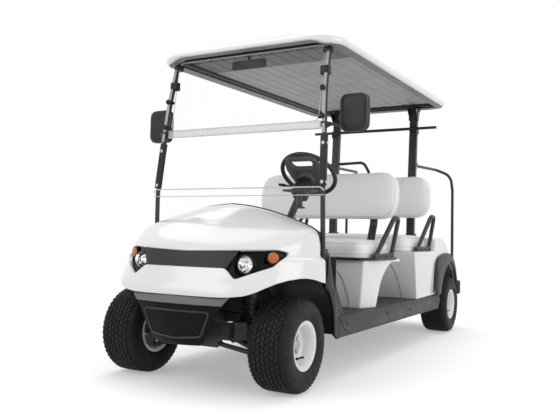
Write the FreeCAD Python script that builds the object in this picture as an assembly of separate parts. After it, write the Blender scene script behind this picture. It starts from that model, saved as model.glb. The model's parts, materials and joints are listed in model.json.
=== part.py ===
import FreeCAD, Part
import math
import os

Vector = FreeCAD.Vector

# Four-seat electric golf cart. Millimetres, +X forward, +Y to the cart's left, +Z up, ground at Z = 0.

# Wheels and stance
WHEELBASE = 2640.0
FRONT_AXLE_X = 1366.0
FRONT_HALF_TRACK = 447.0
REAR_HALF_TRACK = 480.0
TYRE_RADIUS = 228.5
TYRE_WIDTH = 215.0
RIM_FLANGE_RADIUS = 119.0
RIM_SEAT_RADIUS = 101.6
RIM_HALF_WIDTH = 92.0
RIM_WALL = 4.0
RIM_DISC_DEPTH = 52.0
HUB_RADIUS = 34.0
SPINDLE_RADIUS = 15.0
RUNNING_GAP = 0.05
AXLE_TUBE_RADIUS = 33.0
SEAT_GAP = 0.3
REAR_AXLE_X = FRONT_AXLE_X - WHEELBASE
AXLE_Z = TYRE_RADIUS

# Front suspension and steering
KINGPIN_Y = 350.0
KINGPIN_HALF_HEIGHT = 62.0
KINGPIN_RADIUS = 17.0
BUSH_HALF_LENGTH = 22.0
BUSH_RADIUS = 17.0
LOWER_INNER_Y = 112.0
LOWER_INNER_Z = 214.0
LOWER_FRONT_REACH = 103.0
LOWER_REAR_REACH = 58.0
UPPER_INNER_Y = 226.0
UPPER_HALF_SPREAD = 40.0
ARM_THICK = 22.0
LEG_WIDTH = 24.0
LEG_THICK = 18.0
BOSS_RADIUS = 22.0
WING_Y = 258.0
STEERING_ARM = 110.0
RACK_Z = AXLE_Z + 2
TIE_ROD_RADIUS = 9.0
WHEEL_TILT = 40.0
STEERING_WHEEL_X = FRONT_AXLE_X - 520.0
STEERING_WHEEL_Y = 284.0
STEERING_WHEEL_Z = 1106.0
STEERING_WHEEL_RADIUS = 170.0
STEERING_GRIP = 13.0
COLUMN_RADIUS = 21.0
GEAR_RADIUS = 24.0
GEAR_HALF_LENGTH = 120.0
SPRING_TOP = 500.0
SPRING_TOP_Y = 236.0
SPRING_FOOT_Y = 266.0
SPRING_SEAT_TOP = 190.0
LOWER_ARM_Z = AXLE_Z - KINGPIN_HALF_HEIGHT - ARM_THICK / 2 - SEAT_GAP
UPPER_ARM_Z = AXLE_Z + KINGPIN_HALF_HEIGHT + ARM_THICK / 2 + SEAT_GAP

# Frame and floor
RAIL_Y = 180.0
RAIL_WIDTH = 50.0
RAIL_HEIGHT = 70.0
FLOOR_TOP = 330.0
FLOOR_THICK = 15.0
BODY_HALF_WIDTH = 562.0
FLOOR_HALF_WIDTH = BODY_HALF_WIDTH - 19
PANEL = 4.0
REAR_KICK = 70.0
RAIL_BOTTOM = FLOOR_TOP - FLOOR_THICK - RAIL_HEIGHT
TOE_LENGTH = 130.0
TOE_RISE = 170.0
TAIL_LENGTH = 361.0
TAIL_TAPER = 42.0
REAR_ARCH_RADIUS = 345.0
REAR_ARCH_INNER_Y = REAR_HALF_TRACK - 150
LEAF_Y = 212.0
LEAF_WIDTH = 50.0
LEAF_THICK = 8.0
LEAF_HALF_LENGTH = 330.0
LEAF_END_Z = 300.0
BUMPER_BACK = 150.0

# Cowl
COWL_REAR_X = FRONT_AXLE_X - 165.0
ARCH_RADIUS = 330.0
FOOTWELL_X = FRONT_AXLE_X - ARCH_RADIUS - 12
DASH_LOW = 640.0
# Each level: height, distance of the nose ahead of the front axle, half width at the rear, fullness
COWL_LEVELS = [
    (455.0, 318.0, 562.0, 3.6),
    (500.0, 306.0, 566.0, 3.4),
    (545.0, 286.0, 566.0, 3.0),
    (600.0, 268.0, 564.0, 2.6),
    (634.0, 258.0, 561.0, 2.55),
    (654.0, 254.0, 536.0, 2.5),
    (690.0, 238.0, 534.0, 2.45),
    (722.0, 208.0, 531.0, 2.4),
    (774.0, 136.0, 514.0, 2.3),
    (806.0, 88.0, 462.0, 2.2),
    (848.0, 15.0, 352.0, 2.1),
    (882.0, -58.0, 235.0, 2.0),
    (906.0, -118.0, 118.0, 2.0),
]
COWL_STEPS = 10
# Lamp band's outline seen from the front: across, up
BAND_OUTLINE = [
    (-500, 674), (-440, 686), (0, 672), (440, 686), (500, 674), (455, 618), (296, 541), (238, 591),
    (-238, 591),
    (-296, 541), (-455, 618),
]
BAND_DEPTH = 20.0
HEADLAMP_Y = 314.0
HEADLAMP_Z = 611.0
HEADLAMP_RADIUS = 41.0
TURN_LAMP_Y = 423.0
TURN_LAMP_Z = 645.0
TURN_LAMP_RADIUS = 28.0
HEADLAMP_FACE = 196.0
TURN_LAMP_FACE = 118.0
# Bumper levels: height, distance ahead of the front axle, half width
BUMPER_LEVELS = [(222, 300, 140), (262, 318, 165), (384, 322, 232), (427, 320, 262), (461, 302, 285)]

# Cabin
POST_Y = 530.0
POST_RADIUS = 13.0
# Each station: distance behind the front axle, half spread, height
FRONT_POST_PATH = [
    (-197.0, 536.0, 560.0), (-186.0, 530.0, 1010.0), (-211.0, 521.0, 1232.0), (-247.0, 505.0, 1522.0),
    (-296.0, 499.0, 1730.0), (-322.0, 495.0, 1778.0),
]
LOWER_PANE_OUTLINE = [
    (-522, 769), (-551, 800), (-551, 985), (-536, 1001), (536, 1001), (551, 985), (551, 800), (522, 769),
    (458, 800), (349, 844), (233, 878), (116, 901), (0, 908), (-116, 901), (-233, 878), (-349, 844),
    (-458, 800),
]
UPPER_PANE_HALF_WIDTH = 478.0
PANE_BAR_LOW = 1308.0
PANE_BAR_HIGH = 1352.0
INNER_MIRROR_X = FRONT_AXLE_X - 325.0
ROOF_FRONT_X = FRONT_AXLE_X - 215.0
ROOF_REAR_X = FRONT_AXLE_X - 2430.0
ROOF_HALF_WIDTH = 586.0
ROOF_RIM_Z = 1760.0
ROOF_CREST_Z = 1875.0
ROOF_PITCH = 1.53
ROOF_CORNER = 130.0
ROOF_INNER_CORNER = 20.0
ROOF_RIM_WIDTH = 74.0
ROOF_FRONT_ARCH = 25.0
REAR_POST_X = FRONT_AXLE_X - 2290.0
REAR_POST_Y = 338.0
REAR_POST_WIDTH = 60.0
REAR_POST_DEPTH = 36.0
REAR_POST_FOOT = 378.0
# Each station: distance ahead of the posts' own place, height
REAR_POST_STATIONS = ((12.0, 916.0), (-8.0, 1300.0), (-42.0, 1826.1))
CROSSBAR_Z = 1646.0
CROSSBAR_HALF_LENGTH = 530.0
CROSSBAR_END_LENGTH = 150.0
CROSSBAR_END_RADIUS = 11.0
ROOF_TUBE_RADIUS = 14.0
ROOF_TUBE_LIFT = 24.0

# Seats
FRONT_SEAT_X = FRONT_AXLE_X - 830.0
REAR_SEAT_X = FRONT_AXLE_X - 1690.0
SEAT_DEPTH = 520.0
CUSHION_HALF_WIDTH = BODY_HALF_WIDTH - 50
CUSHION_THICK = 105.0
FRONT_SEAT_TOP = 622.0
REAR_SEAT_TOP = 665.0
BACKREST_THICK = 85.0
BACKREST_LEAN = 8.0
FRONT_BACKREST_X = FRONT_SEAT_X - 505.0
FRONT_BACKREST_LOW = 884.0
FRONT_BACKREST_HIGH = 1216.0
REAR_BACKREST_LOW = 920.0
REAR_BACKREST_HIGH = 1259.0
ARMREST_RADIUS = 15.0
FLARE_PROUD = 24.0
# Outer edge of the rear flares in side view: distance ahead of the rear axle, height
FLARE_OUTLINE = [
    (436.0, 334.0), (438.0, 530.0), (425.0, 575.0), (390.0, 606.0), (330.0, 626.0), (230.0, 642.0),
    (130.0, 648.0), (20.0, 644.0), (-90.0, 622.0), (-190.0, 574.0), (-270.0, 505.0), (-325.0, 428.0),
    (-350.0, 334.0),
]
REAR_BACKREST_LEAN = math.degrees(math.atan2(20.0, 384.0))


def box(x0, x1, y0, y1, z0, z1):
    """Block between two planes along each axis."""
    return Part.makeBox(x1 - x0, y1 - y0, z1 - z0, Vector(x0, y0, z0))


def cylinder(start, axis, radius, length):
    """Round bar from a point along an axis."""
    return Part.makeCylinder(radius, length, Vector(*start), Vector(*axis))


def prism(points, direction):
    """Solid between a closed flat outline and its copy moved by a vector."""
    corners = [Vector(*p) for p in points]
    face = Part.Face(Part.makePolygon(corners + corners[:1]))
    return face.extrude(Vector(*direction))


def side_prism(outline, y0, y1):
    """Outline in side view, (x, z) pairs, given a width from y0 to y1."""
    return prism([(x, y0, z) for x, z in outline], (0, y1 - y0, 0))


def plan_prism(outline, z0, z1):
    """Outline in plan view, (x, y) pairs, given a height from z0 to z1."""
    return prism([(x, y, z0) for x, y in outline], (0, 0, z1 - z0))


def front_prism(outline, x0, x1):
    """Outline in front view, (y, z) pairs, given a length from x0 to x1."""
    return prism([(x0, y, z) for y, z in outline], (x1 - x0, 0, 0))


def mirrored(shape):
    """The same shape on the cart's other side."""
    return shape.mirror(Vector(0, 0, 0), Vector(0, 1, 0))


def both_sides(shape):
    """A shape and its mirror image, as separate solids."""
    return Part.makeCompound([shape, mirrored(shape)])


def fuse(shapes):
    """Several shapes as one."""
    return shapes[0].multiFuse(shapes[1:]).removeSplitter() if len(shapes) > 1 else shapes[0]


def bent_path(points, bend):
    """Wire of straight runs joined by tangent arcs of about the bend radius."""
    corners = [Vector(*p) for p in points]
    edges = []
    start = corners[0]
    for before, corner, after in zip(corners, corners[1:], corners[2:]):
        inward = (before - corner).normalize()
        outward = (after - corner).normalize()
        half = inward.getAngle(outward) / 2
        reach = min(bend / math.tan(half), 0.45 * (corner - before).Length, 0.45 * (after - corner).Length)
        first = corner + inward * reach
        last = corner + outward * reach
        radius = reach * math.tan(half)
        centre = corner + (inward + outward).normalize() * (radius / math.sin(half))
        middle = centre + (corner - centre).normalize() * radius
        edges.append(Part.LineSegment(start, first).toShape())
        edges.append(Part.Arc(first, middle, last).toShape())
        start = last
    edges.append(Part.LineSegment(start, corners[-1]).toShape())
    return Part.Wire(edges)


def round_tube(points, radius, bend):
    """Tube of one radius along a bent path."""
    path = bent_path(points, bend)
    start = Vector(*points[0])
    along = Vector(*points[1]) - start
    section = Part.Wire(Part.makeCircle(radius, start, along))
    return path.makePipeShell([section], True, False)


def flat_bar(points, width_x, depth_y, bend):
    """Bar of rectangular section along a path that rises: width along X, depth along Y."""
    path = bent_path(points, bend)
    x, y, z = points[0]
    half_w = width_x / 2
    half_d = depth_y / 2
    ring = [(x - half_w, y - half_d, z), (x + half_w, y - half_d, z), (x + half_w, y + half_d, z),
            (x - half_w, y + half_d, z), (x - half_w, y - half_d, z)]
    section = Part.makePolygon([Vector(*p) for p in ring])
    return path.makePipeShell([section], True, False)


def rounded_block(x0, x1, y0, y1, z0, z1, corner, edge):
    """Block with its four corners round in front view and its other edges eased."""
    block = box(x0, x1, y0, y1, z0, z1)
    long_edges = [e for e in block.Edges if abs(e.BoundBox.XLength - (x1 - x0)) < 0.01]
    block = block.makeFillet(corner, long_edges)
    rest = [e for e in block.Edges if e.BoundBox.XLength < 0.01]
    return block.makeFillet(edge, rest)


def wheel_profile(points, y_centre, side):
    """Revolve (offset, radius) pairs about an axle; side is +1 where outward is +Y."""
    return [(y_centre + side * offset, radius) for offset, radius in points]


def revolved(x, y_centre, side, points):
    outline = wheel_profile(points, y_centre, side)
    corners = [Vector(x, y, AXLE_Z + radius) for y, radius in outline]
    face = Part.Face(Part.makePolygon(corners + corners[:1]))
    return face.revolve(Vector(x, 0, AXLE_Z), Vector(0, 1, 0), 360)


def tyre(x, y_centre, side):
    """Tyre with a flat crown and rounded shoulders."""
    half = TYRE_WIDTH / 2
    bead = RIM_HALF_WIDTH
    points = [
        (-bead, RIM_SEAT_RADIUS + SEAT_GAP), (-bead, RIM_FLANGE_RADIUS + 2), (-half + 3, 150), (-half, 180),
        (-half + 5, 206), (-half + 16, 221), (-half + 40, TYRE_RADIUS - 1.5), (0, TYRE_RADIUS),
        (half - 40, TYRE_RADIUS - 1.5), (half - 16, 221), (half - 5, 206), (half, 180), (half - 3, 150),
        (bead, RIM_FLANGE_RADIUS + 2), (bead, RIM_SEAT_RADIUS + SEAT_GAP),
    ]
    return revolved(x, y_centre, side, points)


def rim(x, y_centre, side):
    """Steel wheel: barrel, dished disc and hub."""
    flange = RIM_HALF_WIDTH + SEAT_GAP
    lip = flange + RIM_WALL
    inside = RIM_SEAT_RADIUS - RIM_WALL
    disc = RIM_HALF_WIDTH - RIM_DISC_DEPTH
    hub_outer = disc + 18
    hub_inner = disc - 62
    bore = SPINDLE_RADIUS + RUNNING_GAP
    points = [
        (-lip, RIM_FLANGE_RADIUS), (-flange, RIM_FLANGE_RADIUS), (-flange, RIM_SEAT_RADIUS),
        (flange, RIM_SEAT_RADIUS), (flange, RIM_FLANGE_RADIUS), (lip, RIM_FLANGE_RADIUS),
        (lip - 2, inside + 6), (disc + 26, inside), (disc + 6, inside - 6), (disc, 66), (hub_outer - 14, 62),
        (hub_outer - 14, HUB_RADIUS), (hub_outer, HUB_RADIUS - 3), (hub_outer, bore), (hub_inner, bore),
        (hub_inner, HUB_RADIUS), (disc - RIM_WALL - 4, HUB_RADIUS), (disc - RIM_WALL, 66),
        (disc - RIM_WALL, inside - 8), (disc - 18, inside), (-lip + 2, inside + 4),
    ]
    return revolved(x, y_centre, side, points)


def knuckle():
    """Left steering knuckle: upright, spindle and steering arm."""
    disc = RIM_HALF_WIDTH - RIM_DISC_DEPTH
    spindle_end = FRONT_HALF_TRACK + disc + 17
    upright = cylinder((FRONT_AXLE_X, KINGPIN_Y, AXLE_Z - KINGPIN_HALF_HEIGHT), (0, 0, 1),
                       KINGPIN_RADIUS, 2 * KINGPIN_HALF_HEIGHT)
    spindle = cylinder((FRONT_AXLE_X, KINGPIN_Y, AXLE_Z), (0, 1, 0), SPINDLE_RADIUS, spindle_end - KINGPIN_Y)
    shoulder = cylinder((FRONT_AXLE_X, KINGPIN_Y, AXLE_Z), (0, 1, 0), 26,
                        FRONT_HALF_TRACK + disc - 62 - SEAT_GAP - KINGPIN_Y)
    arm = plan_prism([
        (FRONT_AXLE_X, KINGPIN_Y - 14), (FRONT_AXLE_X, KINGPIN_Y + 14),
        (FRONT_AXLE_X - STEERING_ARM, KINGPIN_Y - 14), (FRONT_AXLE_X - STEERING_ARM, KINGPIN_Y - 42),
    ], AXLE_Z - 34, AXLE_Z - 20)
    boss = cylinder((FRONT_AXLE_X - STEERING_ARM, KINGPIN_Y - 28, AXLE_Z - 38), (0, 0, 1), 16, 20)
    return fuse([upright, spindle, shoulder, arm, boss])


def tie_rods():
    """Rack bar with a tie rod at each end, which ends just above the steering arms."""
    x = FRONT_AXLE_X - STEERING_ARM
    z = RACK_Z
    reach = KINGPIN_Y - 28
    bar = cylinder((x, -reach, z), (0, 1, 0), TIE_ROD_RADIUS, 2 * reach)
    ends = [cylinder((x, side * reach, z - 14), (0, 0, 1), 15, 28) for side in (-1, 1)]
    return fuse([bar] + ends)


def front_arms():
    """Upper wishbones, level, and lower ones that fall from their inner bushes to the knuckles."""
    def leg(inner_x, inner_y, inner_z, outer_x, outer_z):
        half = LEG_WIDTH / 2
        low = LEG_THICK / 2
        bar = prism([
            (inner_x - half, inner_y, inner_z - low), (inner_x + half, inner_y, inner_z - low),
            (outer_x + half, KINGPIN_Y, outer_z - low), (outer_x - half, KINGPIN_Y, outer_z - low),
        ], (0, 0, LEG_THICK))
        bush = cylinder((inner_x - BUSH_HALF_LENGTH, inner_y, inner_z), (1, 0, 0), BUSH_RADIUS,
                        2 * BUSH_HALF_LENGTH)
        return [bar, bush]

    x = FRONT_AXLE_X
    boss = [cylinder((x, KINGPIN_Y, z - ARM_THICK / 2), (0, 0, 1), BOSS_RADIUS, ARM_THICK)
            for z in (LOWER_ARM_Z, UPPER_ARM_Z)]
    near = LEG_WIDTH / 4
    upper = fuse(leg(x + UPPER_HALF_SPREAD, UPPER_INNER_Y, UPPER_ARM_Z, x + near, UPPER_ARM_Z)
                 + leg(x - UPPER_HALF_SPREAD, UPPER_INNER_Y, UPPER_ARM_Z, x - near, UPPER_ARM_Z) + [boss[1]])
    outer_z = LOWER_ARM_Z - 4
    fall = (LOWER_INNER_Z - outer_z) / (KINGPIN_Y - LOWER_INNER_Y)
    seat_z = LOWER_INNER_Z - (SPRING_FOOT_Y - LOWER_INNER_Y) * fall
    seat = [cylinder((x, SPRING_FOOT_Y, seat_z - LEG_THICK / 2), (0, 0, 1), BOSS_RADIUS,
                     SPRING_SEAT_TOP - seat_z + LEG_THICK / 2),
            box(x - 36, x + 50, SPRING_FOOT_Y - 12, SPRING_FOOT_Y + 12, seat_z - 7, seat_z + 7)]
    lower = fuse(leg(x + LOWER_FRONT_REACH, LOWER_INNER_Y, LOWER_INNER_Z, x + near, outer_z)
                 + leg(x - LOWER_REAR_REACH, LOWER_INNER_Y, LOWER_INNER_Z, x - near, outer_z)
                 + [boss[0]] + seat)
    return Part.makeCompound([lower, upper, mirrored(lower), mirrored(upper)])


def front_crossmember():
    """Folded plates under the nose that carry the lower bushes and the steering gear."""
    x = FRONT_AXLE_X
    front = LOWER_FRONT_REACH + BUSH_HALF_LENGTH
    rear = STEERING_ARM - GEAR_RADIUS - SEAT_GAP
    low = LOWER_INNER_Z - BUSH_RADIUS
    half = LOWER_INNER_Y + 38
    outer = RAIL_Y + RAIL_WIDTH / 2
    wing = plan_prism([(x + front, half - 10), (x + front + 8, half - 10), (x + front + 8, half),
                       (x + 66, WING_Y), (x + 58, WING_Y - 4), (x + front, half - 2)],
                      low + 39, RAIL_BOTTOM + 77)
    return [box(x + front, x + front + 8, -half, half, low + 30, RAIL_BOTTOM + 77), wing, mirrored(wing),
            box(x + front, x + front + 8, -LOWER_INNER_Y - 20, LOWER_INNER_Y + 20, low, low + 32),
            box(x - rear, x - rear + 5.4, -outer, outer, low, RAIL_BOTTOM + 6)]


def chassis_frame():
    """Welded frame: two rails with a kick over the rear axle, crossbeams, spring towers and hangers."""
    low = RAIL_BOTTOM
    front = FRONT_AXLE_X + BUMPER_BACK - SEAT_GAP
    kick_start = REAR_AXLE_X + 420
    kick_end = REAR_AXLE_X + 250
    rear = REAR_AXLE_X - TAIL_LENGTH
    high = low + REAR_KICK
    outer = RAIL_Y + RAIL_WIDTH / 2
    outline = [(front, low), (front, low + RAIL_HEIGHT), (kick_start, low + RAIL_HEIGHT),
               (kick_end, high + RAIL_HEIGHT), (REAR_AXLE_X - 240, high + RAIL_HEIGHT), (rear, 314),
               (rear, 280), (REAR_AXLE_X - 240, high), (kick_end, high), (kick_start, low)]
    rail = side_prism(outline, RAIL_Y - RAIL_WIDTH / 2, outer)
    x = FRONT_AXLE_X
    tower = [box(x - 30, x + 30, outer - 18, outer - 8, low + RAIL_HEIGHT, SPRING_TOP + 8),
             box(x - 30, x + 30, outer - 18, SPRING_TOP_Y + 26, SPRING_TOP + SEAT_GAP, SPRING_TOP + 8)]
    for sign in (-1, 1):
        for dx in (-12, 12):
            pin_x = x + sign * UPPER_HALF_SPREAD + dx * 2
            tower.append(box(pin_x - 2, pin_x + 2, outer - 2, UPPER_INNER_Y,
                             UPPER_ARM_Z - 10, UPPER_ARM_Z + 10))
    hangers = []
    for end in (-LEAF_HALF_LENGTH + 14, LEAF_HALF_LENGTH - 14):
        hangers.append(box(REAR_AXLE_X + end - 12, REAR_AXLE_X + end + 12, outer - 2, LEAF_Y + LEAF_WIDTH,
                           LEAF_END_Z + LEAF_THICK + SEAT_GAP, LEAF_END_Z + 38))
    side = [rail] + tower + hangers
    pieces = side + [mirrored(p) for p in side] + front_crossmember()
    for beam_x in (FRONT_AXLE_X + 100, FRONT_AXLE_X - 380, FRONT_AXLE_X - 900, FRONT_AXLE_X - 1560):
        pieces.append(box(beam_x - 22, beam_x + 22, -RAIL_Y, RAIL_Y, low + 10, low + RAIL_HEIGHT - 10))
    for beam_x in (kick_end - 150, REAR_AXLE_X - 215):
        pieces.append(box(beam_x - 22, beam_x + 22, -RAIL_Y, RAIL_Y, high + 10, high + RAIL_HEIGHT - 10))
    for beam_x in (FRONT_AXLE_X - 460, FRONT_AXLE_X - 1150, FRONT_AXLE_X - 1900):
        pieces.append(box(beam_x - 20, beam_x + 20, -FLOOR_HALF_WIDTH + 8, FLOOR_HALF_WIDTH - 8, low + 30,
                          low + RAIL_HEIGHT - SEAT_GAP))
    post_half = REAR_POST_WIDTH / 2
    post_outer = REAR_POST_Y + post_half
    pieces.append(box(REAR_POST_X - 25, REAR_POST_X + 45, -post_outer, post_outer, REAR_POST_FOOT - 50,
                      REAR_POST_FOOT - SEAT_GAP))
    return fuse(pieces)


def springs():
    """Coil-over units at the front and leaf packs at the rear."""
    foot = Vector(FRONT_AXLE_X, SPRING_FOOT_Y, SPRING_SEAT_TOP + SEAT_GAP)
    top = Vector(FRONT_AXLE_X, SPRING_TOP_Y, SPRING_TOP)
    axis = top - foot
    unit = fuse([
        cylinder(tuple(foot + axis * 0.02), tuple(axis), 15, axis.Length * 0.96),
        cylinder(tuple(foot + axis * 0.52), tuple(axis), 30, axis.Length * 0.42),
    ])
    unit = unit.fuse(cylinder((foot.x, foot.y, foot.z), (0, 0, 1), 13, 20)).removeSplitter()
    unit = unit.fuse(cylinder((top.x, top.y, top.z - 24), (0, 0, 1), 13, 24)).removeSplitter()
    x = REAR_AXLE_X
    low = AXLE_Z + AXLE_TUBE_RADIUS + SEAT_GAP
    leaf = side_prism([
        (x + LEAF_HALF_LENGTH, LEAF_END_Z), (x + LEAF_HALF_LENGTH, LEAF_END_Z + LEAF_THICK),
        (x + 60, low + 2 * LEAF_THICK), (x - 60, low + 2 * LEAF_THICK),
        (x - LEAF_HALF_LENGTH, LEAF_END_Z + LEAF_THICK), (x - LEAF_HALF_LENGTH, LEAF_END_Z), (x - 60, low),
        (x + 60, low),
    ], LEAF_Y, LEAF_Y + LEAF_WIDTH)
    return Part.makeCompound([unit, mirrored(unit), leaf, mirrored(leaf)])


def rear_axle():
    """Live axle: tube, final drive housing and the electric motor in front of it."""
    disc = RIM_HALF_WIDTH - RIM_DISC_DEPTH
    hub_inner = REAR_HALF_TRACK + disc - 62
    end = REAR_HALF_TRACK + disc + 17
    tube = cylinder((REAR_AXLE_X, -hub_inner + SEAT_GAP, AXLE_Z), (0, 1, 0), AXLE_TUBE_RADIUS,
                    2 * (hub_inner - SEAT_GAP))
    shaft = cylinder((REAR_AXLE_X, -end, AXLE_Z), (0, 1, 0), SPINDLE_RADIUS, 2 * end)
    housing = Part.makeSphere(92, Vector(REAR_AXLE_X, -40, AXLE_Z))
    motor = cylinder((REAR_AXLE_X, -10, AXLE_Z + 10), (1, 0, 0), 85, 330)
    return fuse([tube, shaft, housing, motor])


def battery_pack():
    """Row of drive batteries on the floor under the rear seat."""
    return box(REAR_SEAT_X - 430, REAR_SEAT_X - 70, -420, 420, FLOOR_TOP + SEAT_GAP, FLOOR_TOP + 270)


def floor_pan():
    """Floor sheet that turns up as the toe board."""
    front = FOOTWELL_X
    toe = front - TOE_LENGTH
    top = DASH_LOW - SEAT_GAP
    rear = REAR_AXLE_X + 430
    low = FLOOR_TOP - FLOOR_THICK
    outline = [(rear, low), (rear, FLOOR_TOP), (toe, FLOOR_TOP), (front - 6, FLOOR_TOP + TOE_RISE),
               (front - 6, top), (front, top), (front, low)]
    return side_prism(outline, -FLOOR_HALF_WIDTH, FLOOR_HALF_WIDTH)


def side_covers():
    """Sill covers along the floor's edges, and the panels behind the front wheels."""
    x = FRONT_AXLE_X
    joint = x - 371.5
    rear = x - 2360
    y0 = FLOOR_HALF_WIDTH + SEAT_GAP
    front = joint - SEAT_GAP
    sill_outline = [(front, 222), (front, 328), (rear, 321), (rear, 262), (rear + 40, 216)]
    sill = side_prism(sill_outline, y0, BODY_HALF_WIDTH)
    panel = side_prism([
        (x - 219, 648), (x - 219, 556), (x - 203, 550), (x - 203, 520), (x - 268, 500), (x - 300, 425),
        (x - 331, 320), (x - 333, 240), (x - 350, 219), (joint, 217), (joint, 332), (x - 238, 640),
    ], y0, BODY_HALF_WIDTH - 6)
    return Part.makeCompound([sill, panel, mirrored(sill), mirrored(panel)])


def cowl_level(z, nose, half_width, fullness, inset, rear):
    """Closed outline of the cowl at one height, moved inward by the inset."""
    width = half_width - inset
    length = FRONT_AXLE_X + nose - inset - COWL_REAR_X
    points = []
    for step in range(-COWL_STEPS, COWL_STEPS + 1):
        angle = math.pi / 2 * step / COWL_STEPS
        y = width * math.sin(angle)
        share = max(0.0, 1 - abs(math.sin(angle)) ** fullness)
        points.append(Vector(COWL_REAR_X + length * share ** 0.44, y, z))
    curve = Part.BSplineCurve()
    curve.interpolate(points)
    back = [Vector(rear, width, z), Vector(rear, -width, z)]
    edges = [curve.toShape(), Part.LineSegment(points[-1], back[0]).toShape(),
             Part.LineSegment(back[0], back[1]).toShape(), Part.LineSegment(back[1], points[0]).toShape()]
    return Part.Wire(edges)


def cowl_form(inset, rear, drop=0.0):
    """Solid of the cowl's form, moved inward by the inset and let down by the drop."""
    wires = []
    for z, nose, half_width, fullness in COWL_LEVELS:
        wires.append(cowl_level(z - inset * 0.6 - drop, nose, half_width, fullness, inset, rear))
    return Part.makeLoft(wires, True, True)


def lip_cut():
    """Everything below the cowl's lower lip, in side view."""
    x = FRONT_AXLE_X
    outline = [(x + 400, 462), (x + 300, 462), (x + 270, 470), (x + 240, 489), (x + 210, 508),
               (x + 165, 530),
               (x + 110, 546), (x + 40, 554), (x - 60, 548), (x - 120, 532), (x - 260, 514), (x - 260, 300),
               (x + 400, 300)]
    return side_prism(outline, -700, 700)


def band_window(margin):
    """Prism of the lamp band's outline, made smaller all round by the margin."""
    corners = [Vector(0, y, z) for y, z in BAND_OUTLINE]
    wire = Part.makePolygon(corners + corners[:1])
    if margin:
        wire = wire.makeOffset2D(-margin)
    face = Part.Face(wire)
    face.translate(Vector(FRONT_AXLE_X - 100, 0, 0))
    return face.extrude(Vector(600, 0, 0))


def cowl():
    """Front body shell with its lower edge and the lamp window cut."""
    skin = cowl_form(0, COWL_REAR_X - 1).cut(cowl_form(PANEL, COWL_REAR_X - 60))
    skin = skin.cut(box(COWL_REAR_X - 100, COWL_REAR_X, -700, 700, 300, 1100))
    return skin.cut([lip_cut(), band_window(0)])


def lamp(x_face, y, z, radius):
    """Round lens with a domed face, on a short body."""
    body = cylinder((x_face - 70, y, z), (1, 0, 0), radius, 62)
    dome_radius = radius * 2.2
    dome = Part.makeSphere(dome_radius, Vector(x_face - dome_radius, y, z))
    return body.fuse(dome.common(cylinder((x_face - 12, y, z), (1, 0, 0), radius, 20))).removeSplitter()


def headlamps():
    """Round lamps in the lamp band, square to the road."""
    return both_sides(lamp(FRONT_AXLE_X + HEADLAMP_FACE, HEADLAMP_Y, HEADLAMP_Z, HEADLAMP_RADIUS))


def turn_lamps():
    """Small lamps outboard of the headlamps."""
    return both_sides(lamp(FRONT_AXLE_X + TURN_LAMP_FACE, TURN_LAMP_Y, TURN_LAMP_Z, TURN_LAMP_RADIUS))


def lamp_band():
    """Dark band across the nose that holds the lamps."""
    rear = COWL_REAR_X - 60
    core = cowl_form(BAND_DEPTH + PANEL, rear - 40)
    plate = cowl_form(BAND_DEPTH, rear).common(band_window(SEAT_GAP)).cut(core)
    edge = band_window(SEAT_GAP).cut(band_window(SEAT_GAP + 3))
    band = plate.fuse(cowl_form(PANEL - 1, rear).common(edge).cut(core))
    holes = []
    for side in (-1, 1):
        holes.append(cylinder((FRONT_AXLE_X, side * HEADLAMP_Y, HEADLAMP_Z), (1, 0, 0),
                              HEADLAMP_RADIUS + SEAT_GAP, 300))
        holes.append(cylinder((FRONT_AXLE_X - 50, side * TURN_LAMP_Y, TURN_LAMP_Z), (1, 0, 0),
                              TURN_LAMP_RADIUS + SEAT_GAP, 300))
    return band.cut(holes)


def bumper_level(z, nose, half_width, back):
    """Plan outline of the bumper at one height: bowed front, square back."""
    x = FRONT_AXLE_X
    shoulder = x + nose - 45
    tip = Vector(x + nose, 0, z)
    front = Part.Arc(Vector(shoulder, -half_width, z), tip, Vector(shoulder, half_width, z))
    corners = [Vector(shoulder, half_width, z), Vector(x + back, half_width, z),
               Vector(x + back, -half_width, z), Vector(shoulder, -half_width, z)]
    sides = [Part.LineSegment(a, b).toShape() for a, b in zip(corners, corners[1:])]
    return Part.Wire([front.toShape()] + sides)


def front_bumper():
    """Hollow bumper moulding, open at the back."""
    outer = [bumper_level(z, nose, w, BUMPER_BACK) for z, nose, w in BUMPER_LEVELS]
    lowest, highest = BUMPER_LEVELS[0][0] + PANEL, BUMPER_LEVELS[-1][0] - PANEL
    inner = [bumper_level(min(max(z, lowest), highest), nose - PANEL, w - PANEL, BUMPER_BACK - 10)
             for z, nose, w in BUMPER_LEVELS]
    return Part.makeLoft(outer, True, True).cut(Part.makeLoft(inner, True, True))


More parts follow.
